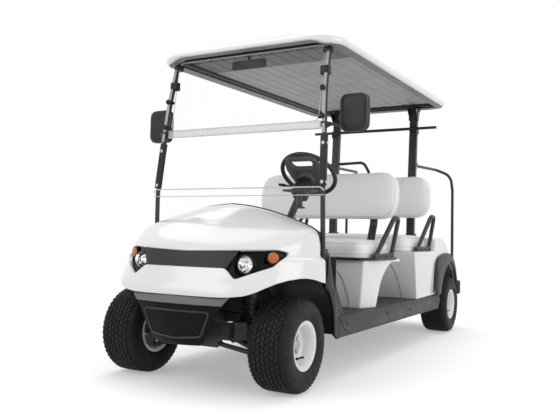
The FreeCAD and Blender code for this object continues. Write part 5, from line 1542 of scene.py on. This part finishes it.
def fill_with_foam(piece):
    """Remesh a pad and blow it up as cloth, then hold every point near its start."""
    remesh = piece.modifiers.new("even", "REMESH")
    remesh.mode = "VOXEL"
    remesh.voxel_size = PAD_VOXEL
    apply_modifiers(piece)
    start = [v.co.copy() for v in piece.data.vertices]
    cloth = piece.modifiers.new("cover", "CLOTH")
    cloth.settings.use_pressure = True
    cloth.settings.uniform_pressure_force = PAD_PRESSURE
    cloth.settings.effector_weights.gravity = 0.0
    cloth.settings.quality = 4
    scene = bpy.context.scene
    for frame_number in range(1, PAD_FRAMES + 1):
        scene.frame_set(frame_number)
    apply_modifiers(piece)
    for vertex, home in zip(piece.data.vertices, start):
        move = vertex.co - home
        if move.length > PAD_SWELL:
            vertex.co = home + move * (PAD_SWELL / move.length)
    scene.frame_set(1)
    round_off = piece.modifiers.new("round", "SUBSURF")
    round_off.levels = 1
    round_off.render_levels = 1
    apply_modifiers(piece)
    piece.data.polygons.foreach_set("use_smooth", [True] * len(piece.data.polygons))


def sewn_line(shape, piece, path, sink):
    """Piping that lies on a pad's surface along a closed path."""
    spots = []
    for spot in path:
        _, here, normal, _ = piece.closest_point_on_mesh(spot)
        spots.append(here - normal * sink)
    smooth = [(before + here * 2 + after) / 4
              for before, here, after in zip(spots[-1:] + spots, spots, spots[1:] + spots[:1])]
    shape.tube(smooth, PIPING, 8, loop=True)


def soft_pad(name, length, width, thick, corner, edge, place, body, replaces=()):
    """Padded seat part with piping along its front edge and its back edge."""
    piece = pad_form(length, width, thick, corner, edge, place).done(name, "seat_vinyl", body, replaces)
    fill_with_foam(piece)
    piping = Shape()
    for inset, up in ((edge * 0.45, thick * 0.93), (0.0, thick * 0.30)):
        ring = dense(pad_ring(length, width, inset, corner), 0.02, round)
        sewn_line(piping, piece, [place @ Vector((a, b, up)) for a, b in ring], 0.0008)
    piping.done(name + "_piping", "piping", body)


def backrest_place(face_x, low, high, lean):
    """Backrest whose foot is at its lower front edge; its face looks forward."""
    turn = Matrix.Rotation(math.radians(90), 4, "Y")
    middle = (high - low) / 2
    return (Matrix.Translation((face_x, 0, low)) @ Matrix.Rotation(-lean, 4, "Y")
            @ Matrix.Translation((-BACKREST_THICK, 0, middle)) @ turn)


# Seat cushions: name, front edge, foot, body and node
CUSHIONS = [
    ("front_seat_pad", FRONT_SEAT + 0.012, FRONT_SEAT_TOP, "front_seat", "front_cushion"),
    ("rear_seat_pad", REAR_SEAT + 0.045, REAR_SEAT_TOP, "rear_seat", "rear_cushion"),
]
# Backrests: name, place of the face's foot, lower and upper end, lean, half width and nodes
BACKRESTS = [
    ("front_backrest_pad", FRONT_AXLE - 1.335, 0.884, 1.216, math.radians(8.0), CUSHION_HALF + 0.018,
     ["backrests"]),
    ("rear_backrest_pad", FRONT_AXLE - 2.260 + BACKREST_THICK, 0.920, 1.259, math.atan2(20.0, 384.0),
     CUSHION_HALF, []),
]


def seats():
    """Two cushions and two backrests, with the shells behind the backrests."""
    for name, front, foot, body, node in CUSHIONS:
        place = Matrix.Translation((front - SEAT_DEPTH / 2, 0, foot + 0.0008))
        soft_pad(name, SEAT_DEPTH, 2 * CUSHION_HALF, CUSHION_THICK, CUSHION_CORNER, CUSHION_EDGE, place, body,
                 [node])
    tray = Shape()
    for name, face_x, low, high, lean, half, nodes in BACKRESTS:
        place = backrest_place(face_x, low, high, lean)
        soft_pad(name, high - low, 2 * half, BACKREST_THICK, BACKREST_CORNER, BACKREST_EDGE, place, "chassis",
                 nodes)
        outline = pad_ring(high - low - 0.070, 2 * half - 0.070, 0.0, 0.075)
        faces = tray.rows([[place @ Vector((a, b, up)) for a, b in outline] for up in (-0.0005, 0.013)],
                          ring=True, caps=True)
        tray.soften(faces, 0.005)
    tray.done("backrest_shells", "dark_plastic")


seats()


def armrests():
    """Closed loops that lean back, each on a wedge along the edge of the seat."""
    shape = Shape()
    wedge = Shape()
    y = BODY_HALF_WIDTH - 0.028
    for seat, foot in ((FRONT_SEAT, FRONT_SEAT_TOP), (REAR_SEAT, REAR_SEAT_TOP)):
        front = seat - 0.060
        loop = [(front - 0.060, y, foot + 0.012), (front - 0.372, y + 0.013, foot + 0.268),
                (front - 0.452, y + 0.013, foot + 0.262), (front - 0.352, y, foot + 0.012)]
        shape.tube(smooth_path(loop, 0.030, 8), 0.0148, 18)
        grip = [Vector(loop[0]).lerp(Vector(loop[1]), t) for t in (0.30, 0.34, 0.60, 0.90, 0.94)]
        shape.tube(grip, 0.0158, 18)
        outline = [(-0.380, 0.001), (-0.032, 0.001), (-0.034, 0.030), (-0.085, 0.042), (-0.125, 0.034),
                   (-0.310, 0.034), (-0.340, 0.044), (-0.378, 0.036)]
        wedge.prism([(front + a, foot + b) for a, b in outline], "y", y - 0.011, y + 0.0142, 0.004, 0.010)
        for back in (0.100, 0.215, 0.330):
            wedge.bolt((front - back, y + 0.0142, foot + 0.018), (0, 1, 0), 0.005)
    shape.done("armrest_loops", "black_steel", both=True, replaces=["armrests"])
    wedge.done("armrest_feet", "dark_plastic", both=True)


armrests()


# Front posts, screens and mirrors
POST_PATH = [(-0.197, 0.536, 0.560), (-0.186, 0.530, 1.010), (-0.211, 0.521, 1.232), (-0.247, 0.505, 1.522),
             (-0.296, 0.499, 1.730), (-0.322, 0.495, 1.778)]
POST_RADIUS = 0.0128
SLEEVE_LOW = 1.011
SLEEVE_HIGH = 1.274
STRIP_LOW = 1.286
STRIP_HIGH = 1.752
KNOB_PROFILE = [(0.0, 0.006), (0.006, 0.0065), (0.008, 0.013), (0.020, 0.0145), (0.024, 0.0135),
                (0.026, 0.009)]
POST_STRAP = [(-0.268, 0.500), (-0.212, 0.500), (-0.205, 0.560), (-0.205, 0.640), (-0.215, 0.662),
              (-0.238, 0.668), (-0.256, 0.660), (-0.262, 0.640)]
STRAP_INNER = 0.5440
STRAP_OUTER = 0.5488
PANE_HALF = 0.478
PANE_THICK = 0.004
PANE_BAR_Z = 1.352
# Two spots on the upper pane's rear face: distance ahead of the front axle, height
UPPER_PANE_LEAN = ((-0.224, 1.318), (-0.298, 1.785))
LOWER_PANE_X = COWL_REAR_X - 0.0043
# Lower pane seen from the front: its side and top, then its foot along the cowl from side to middle
LOWER_PANE_SIDE = [(-0.522, 0.769), (-0.551, 0.800), (-0.551, 0.980), (-0.530, 1.001)]
LOWER_PANE_FOOT = [(0.458, 0.800), (0.349, 0.844), (0.233, 0.878), (0.116, 0.901)]
LOWER_PANE_MIDDLE = (0.0, 0.908)


def post_at(z):
    """Middle of the left front post at a height."""
    for (x0, y0, z0), (x1, y1, z1) in zip(POST_PATH, POST_PATH[1:]):
        if z <= z1:
            break
    share = (z - z0) / (z1 - z0)
    return Vector((FRONT_AXLE + x0 + (x1 - x0) * share, y0 + (y1 - y0) * share, z))


def front_posts():
    """Post tubes with their sleeves, clamps and the pale strips that hold the upper pane."""
    posts = Shape()
    posts.tube(smooth_path([(FRONT_AXLE + x, y, z) for x, y, z in POST_PATH], 0.080, 8), POST_RADIUS, 20)
    posts.done("front_post_tubes", "black_steel", both=True, replaces=["front_posts"])
    fittings = Shape()
    fittings.sweep([post_at(z) for z in evenly(SLEEVE_LOW, SLEEVE_HIGH, 8)],
                   box_section(0.036, 0.030, 0.008, 4), up=(1, 0, 0))
    for z, height, reach in ((1.625, 0.050, 0.034), (1.740, 0.034, 0.030)):
        x, y, _ = post_at(z)
        half = height / 2
        fittings.block((x - 0.019, y - reach, z - half), (x + 0.019, y + 0.0155, z + half), 0.006)
        half -= 0.006
        fittings.block((x + 0.017, y - reach + 0.006, z - half), (x + 0.023, y + 0.010, z + half), 0.0025)
    fittings.done("post_sleeves", "black_plastic", both=True)
    strips = Shape()
    ahead = Vector((POST_RADIUS + 0.0032, 0, 0))
    strips.sweep([post_at(z) + ahead for z in evenly(STRIP_LOW, STRIP_HIGH, 14)],
                 box_section(0.018, 0.005, 0.0018, 2), up=(1, 0, 0))
    strips.done("post_strips", "post_strip", both=True)


def post_fasteners():
    """Knobs that clamp the upper pane, straps and feet at the cowl, and bolts in the sleeves."""
    knobs = Shape()
    for z in (1.371, 1.522):
        x, y, _ = post_at(z)
        knobs.lathe(KNOB_PROFILE, (x + POST_RADIUS - 0.002, y - 0.004, z), (1, 0, 0.16), 24)
        knobs.tube([(x, PANE_HALF + 0.0004, z), (x, y - POST_RADIUS + 0.002, z)], 0.008, 16)
    knobs.done("pane_knobs", "black_plastic", both=True, replaces=["windscreen_bars"])
    feet = Shape()
    feet.prism([(FRONT_AXLE + x, z) for x, z in POST_STRAP], "y", STRAP_INNER, STRAP_OUTER, 0.0015, 0.008)
    feet.block((FRONT_AXLE - 0.245, 0.5285, 0.541), (FRONT_AXLE - 0.198, 0.5435, 0.690), 0.005)
    for x, z in ((-0.230, 0.601), (-0.250, 0.535), (-0.234, 0.645)):
        feet.bolt((FRONT_AXLE + x, STRAP_OUTER, z), (0, 1, 0), 0.0055)
    feet.done("post_feet", "black_steel", both=True)
    bolts = Shape()
    for z in (1.029, 1.232):
        x, y, _ = post_at(z)
        bolts.bolt((x + 0.0148, y, z), (1, 0, 0.1), 0.0062)
        bolts.bolt((x, y + 0.0178, z), (0, 1, 0), 0.0055)
    bolts.done("post_bolts", "bolt_zinc", both=True)


front_posts()
post_fasteners()


def screen_x(z):
    """Where the upper pane's rear face lies along the cart at a height."""
    (low_x, low_z), (high_x, high_z) = UPPER_PANE_LEAN
    return FRONT_AXLE + low_x + (high_x - low_x) * (z - low_z) / (high_z - low_z)


def windscreens():
    """Curved-corner panes of clear sheet with polished edges, and the clear bar between them."""
    outline = both_halves(LOWER_PANE_SIDE) + both_halves(LOWER_PANE_FOOT, [LOWER_PANE_MIDDLE])
    panes = Shape()
    panes.prism(outline, "x", LOWER_PANE_X, LOWER_PANE_X + PANE_THICK, 0.0008)
    upper = round_box((-PANE_HALF, 1.3525), (PANE_HALF, 1.7695), 0.034)
    panes.rows([[Vector((screen_x(z) + step, y, z)) for y, z in upper] for step in (0.0, PANE_THICK)],
               ring=True, caps=True)
    panes.done("screen_panes", "clear_screen", replaces=["windscreens"])
    edges = Shape()
    middle = LOWER_PANE_X + PANE_THICK / 2
    fold = both_halves([(-0.545, 0.985), (-0.528, 1.0025)], [(0.0, 1.0035)])
    edges.tube(smooth_path([(middle, y, z) for y, z in fold], 0.014, 5), 0.0034, 10)
    edges.tube([(middle, y, 0.962) for y in (-0.546, -0.2, 0.2, 0.546)], 0.0024, 8)
    edges.tube([(screen_x(z) + PANE_THICK / 2, y, z) for y, z in upper], 0.0023, 8, loop=True)
    x = post_at(PANE_BAR_Z).x
    for z in (1.311, 1.3495):
        edges.tube([(x + 0.0055, y, z) for y in (-0.486, -0.2, 0.2, 0.486)], 0.0023, 8)
    edges.done("screen_edges", "screen_edge")
    bar = Shape()
    bar.block((x - 0.0078, -0.4925, 1.3085), (x + 0.0078, 0.4925, 1.3518), 0.003)
    bar.done("screen_bar", "clear_bar")
    seal = Shape()
    line = outline[2 * len(LOWER_PANE_SIDE) - 1:] + outline[:1]
    seal.tube(curve_through([(LOWER_PANE_X + 0.001, y, z - 0.001) for y, z in line], 4), 0.0052, 10)
    seal.done("screen_seal", "black_plastic")


windscreens()


# Mirrors. The side mirror's corners are distances to the left and heights
MIRROR_X = FRONT_AXLE - 0.330
MIRROR_LOW = (0.556, 1.304)
MIRROR_HIGH = (0.716, 1.504)
# Distance forward of the mirror's middle and inset of its outline there
MIRROR_LEVELS = ((0.0215, 0.030), (0.0195, 0.014), (0.014, 0.004), (0.004, 0.0), (-0.016, 0.0),
                 (-0.0215, 0.004))
MIRROR_ARM_Z = 1.330
INNER_MIRROR_X = FRONT_AXLE - 0.325
INNER_MIRROR_MIDDLE = (-0.014, 1.7225)


def mirror_outline(inset, corner):
    """Outline of a side mirror seen from the front, drawn in by an inset."""
    low = (MIRROR_LOW[0] + inset, MIRROR_LOW[1] + inset)
    high = (MIRROR_HIGH[0] - inset, MIRROR_HIGH[1] - inset)
    return round_box(low, high, corner)


def mirrors():
    """Box-shaped side mirrors on short arms, each with a pale line round its shell."""
    heads = Shape()
    heads.rows([[Vector((MIRROR_X + along, y, z)) for y, z in mirror_outline(inset, 0.045)]
                for along, inset in MIRROR_LEVELS], ring=True, caps=True)
    x, y, z = post_at(MIRROR_ARM_Z)
    arm = [(x, y + 0.010, z), (x, y + 0.040, z), (MIRROR_X, 0.592, z + 0.004), (MIRROR_X, 0.602, z + 0.022)]
    heads.tube(smooth_path(arm, 0.024, 6), 0.009, 16)
    heads.lathe([(-0.004, 0.013), (0.020, 0.0125), (0.023, 0.010)], (x, y + 0.012, z), (0, 1, 0), 20)
    heads.block((x - 0.018, y - 0.016, z - 0.016), (x + 0.018, y + 0.0165, z + 0.016), 0.004)
    heads.done("mirror_heads", "mirror_shell", both=True, replaces=["mirrors"])
    lines = Shape()
    lines.tube([(MIRROR_X + 0.0125, y, z) for y, z in mirror_outline(0.005, 0.043)], 0.0016, 6, loop=True)
    lines.done("mirror_trims", "screen_edge", both=True)
    glass = Shape()
    glass.rows([[Vector((MIRROR_X + along, y, z)) for y, z in mirror_outline(0.010, 0.036)]
                for along in (-0.0222, -0.0202)], ring=True, caps=True)
    glass.done("mirror_faces", "mirror_glass", both=True)


def inner_mirror():
    """Long mirror on a short stem under the roof's front edge."""
    shape = Shape()
    y0, z0 = INNER_MIRROR_MIDDLE
    outline = round_box((-0.111, -0.0255), (0.111, 0.0255), 0.018, 6)
    shape.rows([[Vector((INNER_MIRROR_X + along, y0 + a * share, z0 + b * share)) for a, b in outline]
                for along, share in ((-0.009, 0.97), (-0.007, 1.0), (0.005, 1.0), (0.009, 0.94))],
               ring=True, caps=True)
    shape.tube([(INNER_MIRROR_X, y0, 1.742), (INNER_MIRROR_X, y0, 1.766)], 0.0078, 14)
    shape.lathe([(0.0, 0.016), (0.004, 0.016), (0.006, 0.012)], (INNER_MIRROR_X, y0, 1.764), (0, 0, 1), 20)
    shape.done("inner_mirror", "black_plastic")


mirrors()
inner_mirror()


# Steering wheel and dashboard
WHEEL_CENTRE = Vector((FRONT_AXLE - 0.520, 0.284, 1.106))
WHEEL_TILT = math.radians(40.0)
WHEEL_AXIS = Vector((-math.sin(WHEEL_TILT), 0, math.cos(WHEEL_TILT)))
WHEEL_AHEAD = Vector((math.cos(WHEEL_TILT), 0, math.sin(WHEEL_TILT)))
WHEEL_RADIUS = 0.157
WHEEL_GRIP = 0.0128
FINGER_GROOVES = 24
# Steering wheel's shield and its slot and pad: pairs to the side and towards the wheel's top edge
SHIELD = both_halves([(0.060, 0.153), (0.098, 0.132), (0.110, 0.060), (0.088, -0.060), (0.058, -0.152)])
SHIELD_SLOT = [(-0.058, 0.066), (0.058, 0.066), (0.078, 0.128), (-0.078, 0.128)]
HUB_PAD = [(-0.058, -0.060), (0.058, -0.060), (0.070, 0.046), (-0.070, 0.046)]


def wheel_point(across_wheel, ahead, along):
    """Point in the steering wheel's own plane: to the left, towards its top edge, along its shaft."""
    return WHEEL_CENTRE + Vector((0, 1, 0)) * across_wheel + WHEEL_AHEAD * ahead + WHEEL_AXIS * along


def wheel_plate(shape, outline, corner, levels):
    """Plate in the wheel's plane, drawn in a little at each level."""
    middle = sum(b for _, b in outline) / len(outline)
    points = rounded_outline(outline, corner, 8)
    shape.rows([[wheel_point(a * share, middle + (b - middle) * share, along) for a, b in points]
                for along, share in levels], ring=True, caps=True)


def steering_wheel():
    """Ring with finger grooves, shield with a slot, and the hub on its shaft."""
    ring = Shape()
    rows = []
    turns = 96
    for i, (cos, sin) in enumerate(circle(turns)):
        grip = WHEEL_GRIP * (1.0 - 0.05 * abs(math.sin(2 * math.pi * FINGER_GROOVES * i / turns)))
        section = [(WHEEL_RADIUS + grip * out, grip * up) for out, up in circle(16)]
        rows.append([wheel_point(cos * radius, sin * radius, up) for radius, up in section])
    ring.rows(rows, ring=True, loop=True)
    ring.done("wheel_ring", "wheel_grip", "steering_wheel", replaces=["steering_wheel"])
    pad = Shape()
    wheel_plate(pad, SHIELD, 0.020,
                ((-0.030, 0.90), (-0.024, 1.0), (-0.010, 1.0), (-0.003, 0.965), (0.0, 0.90)))
    shield_piece = pad.done("wheel_pad", "wheel_pad", "steering_wheel", angle=35.0)
    slot = Shape()
    wheel_plate(slot, SHIELD_SLOT, 0.022, ((-0.06, 1.0), (0.04, 1.0)))
    cut_away(shield_piece, slot)
    hub = Shape()
    wheel_plate(hub, HUB_PAD, 0.030, ((-0.004, 1.0), (0.004, 1.0), (0.008, 0.93), (0.0095, 0.8)))
    hub_foot = wheel_point(0, 0, -0.052)
    hub.lathe([(0.0, 0.040), (0.004, 0.046), (0.022, 0.050), (0.030, 0.046)], hub_foot, WHEEL_AXIS, 40)
    hub.lathe([(-0.128, 0.0108), (0.0, 0.0108)], hub_foot, WHEEL_AXIS, 20)
    hub.done("wheel_hub", "wheel_pad", "steering_wheel")


steering_wheel()


def dashboard():
    """Instrument tray on its stem, and the switch block with its stalk."""
    tray = Shape()
    outline = [(-0.300, 0.300), (-0.300, 0.452), (-0.180, 0.470), (-0.174, 0.470), (-0.174, 0.300)]
    tray.prism([(FRONT_AXLE + a, b) for a, b in outline], "z", 0.984, 0.994, 0.003, 0.012)
    tray.block((FRONT_AXLE - 0.262, 0.330, 0.9935), (FRONT_AXLE - 0.205, 0.425, 0.9985), 0.002)
    x, y = FRONT_AXLE - 0.215, 0.385
    tray.tube([(x, y, 0.900), (x, y, 0.986)], 0.016, 16)
    tray.lathe([(0.0, 0.030), (0.006, 0.030), (0.010, 0.022)], (x, y, 0.896), (0, 0, 1), 24)
    tray.done("instrument_tray", "dark_plastic")
    block = Shape()
    turn = Matrix.Translation(WHEEL_CENTRE - WHEEL_AXIS * 0.182) @ Matrix.Rotation(-WHEEL_TILT, 4, "Y")
    block.block((-0.040, -0.040, 0.000), (0.040, 0.040, 0.122), 0.014, turn)
    block.block((-0.034, -0.046, 0.060), (0.030, 0.046, 0.104), 0.008, turn)
    stalk = [turn @ Vector(p) for p in ((0.0, -0.040, 0.082), (0.0, -0.090, 0.090), (0.004, -0.158, 0.100))]
    block.tube(curve_through(stalk, 6), 0.0052, 12)
    block.tube([stalk[1].lerp(stalk[2], t) for t in (0.42, 0.5, 0.9, 1.0)], 0.0085, 12)
    block.done("switch_block", "black_plastic")


def pedal_rubbers():
    """Cross ribs on the two pedals' pads."""
    rubber = Shape()
    slope = Vector((0.124, 0, 0.170)).normalized()
    out = Vector((-slope.z, 0, slope.x))
    foot = Vector((FRONT_AXLE - 0.472, 0, 0.330))
    tilt = math.atan2(slope.x, slope.z)
    for y, width in ((0.300, 0.060), (0.180, 0.086)):
        half = width / 2 - 0.004
        for i in range(6):
            spot = foot + slope * (0.058 + 0.0128 * i) + out * 0.048 + Vector((0, y, 0))
            turn = Matrix.Translation(spot) @ Matrix.Rotation(tilt, 4, "Y")
            rubber.block((-0.0035, -half, 0.0), (0.0005, half, 0.007), 0.0012, turn)
    rubber.done("pedal_rubbers", "tyre_rubber")


dashboard()
pedal_rubbers()


# Side panels, floor and underside. Outlines are pairs: distance ahead of the front axle, height
SILL_JOINT = -0.3718
SILL_REAR = -2.360
PANEL_INNER = 0.5433
SILL = [(SILL_JOINT, 0.222), (SILL_JOINT, 0.328), (SILL_REAR, 0.321), (SILL_REAR, 0.262), (-2.320, 0.216)]
SILL_RAISED = [(-0.392, 0.318), (-0.404, 0.282), (-0.459, 0.249), (-0.524, 0.235), (-2.300, 0.228),
               (-2.345, 0.262), (-2.350, 0.310)]
SILL_TREAD = [(SILL_JOINT, 0.322), (SILL_JOINT, 0.331), (SILL_REAR, 0.324), (SILL_REAR, 0.315)]
SIDE_PANEL_FRONT = [(-0.219, 0.648), (-0.216, 0.560), (-0.200, 0.530), (-0.236, 0.508), (-0.284, 0.462),
                    (-0.318, 0.385), (-0.332, 0.320), (-0.333, 0.240), (-0.350, 0.219)]
SIDE_PANEL_BACK = [(-0.3705, 0.217), (-0.3705, 0.332), (-0.306, 0.480), (-0.238, 0.640)]
ARCH_LIP = [(-0.190, 0.512), (-0.236, 0.486), (-0.272, 0.440), (-0.300, 0.385), (-0.316, 0.320),
            (-0.322, 0.240)]


def side_prism(shape, outline, inner, outer, edge=0.003, corner=0.0):
    """Plate along the cart's left side."""
    shape.prism([(FRONT_AXLE + a, b) for a, b in outline], "y", inner, outer, edge, corner)


def side_panels():
    """Sill covers with a raised panel, the panels behind the front wheels and their glossy arch lips."""
    side = BODY_HALF_WIDTH
    sill = Shape()
    side_prism(sill, SILL, PANEL_INNER, side - 0.004, 0.004, 0.004)
    side_prism(sill, SILL_RAISED, side - 0.006, side + 0.001, 0.0035, 0.016)
    side_prism(sill, SILL_TREAD, 0.500, side - 0.002)
    sill.done("sill_covers", "dark_plastic", both=True, replaces=["side_covers"], angle=35.0)
    bolts = Shape()
    for along, z in ((-0.463, 0.290), (-1.110, 0.285), (-1.568, 0.272), (-2.257, 0.277)):
        bolts.bolt((FRONT_AXLE + along, side + 0.001, z), (0, 1, 0), 0.006)
    bolts.done("sill_bolts", "black_plastic", both=True)
    panel = Shape()
    side_prism(panel, curve_of_pairs(SIDE_PANEL_FRONT, 5) + SIDE_PANEL_BACK, PANEL_INNER, side - 0.006, 0.004)
    panel.done("front_side_panels", "black_plastic", both=True, angle=35.0)
    lip = Shape()
    path = [(FRONT_AXLE + a - 0.002, side - 0.011, b) for a, b in curve_of_pairs(ARCH_LIP, 6)]
    lip.sweep(path, box_section(0.034, 0.012, 0.005, 3), up=(0, 1, 0))
    lip.done("arch_lips", "black_gloss", both=True)


def floor_ribs():
    """Raised ribs of the rubber floor mats."""
    shape = Shape()
    for start, end in ((0.560, 0.872), (-0.300, 0.090)):
        for y in evenly(-0.512, 0.512, 32):
            shape.block((start, y - 0.0055, FLOOR_TOP - 0.0002),
                        (end, y + 0.0055, FLOOR_TOP + 0.0038), 0.0016)
    shape.done("floor_ribs", "floor_mat")


def rear_fittings():
    """Brackets and bolts of the rear posts, crossbar and corner rails."""
    plates = Shape()
    y = 0.338
    post_x = FRONT_AXLE - 2.290
    flare = [(-0.098, 1.8150), (0.040, 1.8190), (0.038, 1.790), (-0.002, 1.752), (-0.004, 1.715),
             (-0.052, 1.715), (-0.054, 1.755)]
    for inner in (y + 0.0302, y - 0.0350):
        plates.prism([(post_x + a, b) for a, b in flare], "y", inner, inner + 0.0048, 0.0015, 0.008)
    for x, z in ((post_x - 0.031, 1.631), (post_x - 0.012, 1.352)):
        plates.block((x - 0.030, y + 0.0300, z - 0.026), (x + 0.034, y + 0.0345, z + 0.030), 0.0018)
    for low in (0.420, 0.760):
        plates.block((post_x - 0.032, y - 0.0355, low), (post_x + 0.034, y + 0.0355, low + 0.040), 0.005)
    plates.done("rear_post_brackets", "black_steel", both=True)
    bolts = Shape()
    for x, z in ((-0.026, 1.640), (-0.010, 1.373), (-0.010, 1.330), (-0.030, 1.775), (0.012, 1.795),
                 (-0.070, 1.795)):
        bolts.bolt((post_x + x, y + 0.0348, z), (0, 1, 0), 0.0058)
    bolts.done("rear_post_bolts", "bolt_zinc", both=True)


def suspension_details():
    """Coils around the front dampers and clips on the leaf packs."""
    coils = Shape()
    foot = Vector((FRONT_AXLE, 0.266, 0.1903))
    damper = Vector((FRONT_AXLE, 0.236, 0.500)) - foot
    u, v = across(damper)
    turns = 7.5
    helix = []
    for share in evenly(0.0, 1.0, int(turns * 20)):
        angle = 2 * math.pi * turns * share
        around = u * math.cos(angle) + v * math.sin(angle)
        helix.append(foot + damper * (0.16 + 0.60 * share) + around * 0.037)
    coils.tube(helix, 0.0045, 8)
    for share in (0.15, 0.765):
        coils.lathe([(0.0, 0.034), (0.002, 0.044), (0.006, 0.044), (0.008, 0.034)], foot + damper * share,
                    damper, 32)
    coils.done("spring_coils", "black_steel", both=True)
    clips = Shape()
    for along, z in ((-0.200, 0.283), (-0.045, 0.262), (0.045, 0.262), (0.200, 0.283)):
        x = REAR_AXLE + along
        clips.block((x - 0.009, 0.2080, z - 0.006), (x + 0.009, 0.2660, z + 0.022), 0.003)
    clips.done("leaf_clips", "bare_steel", both=True)


side_panels()
floor_ribs()
rear_fittings()
suspension_details()
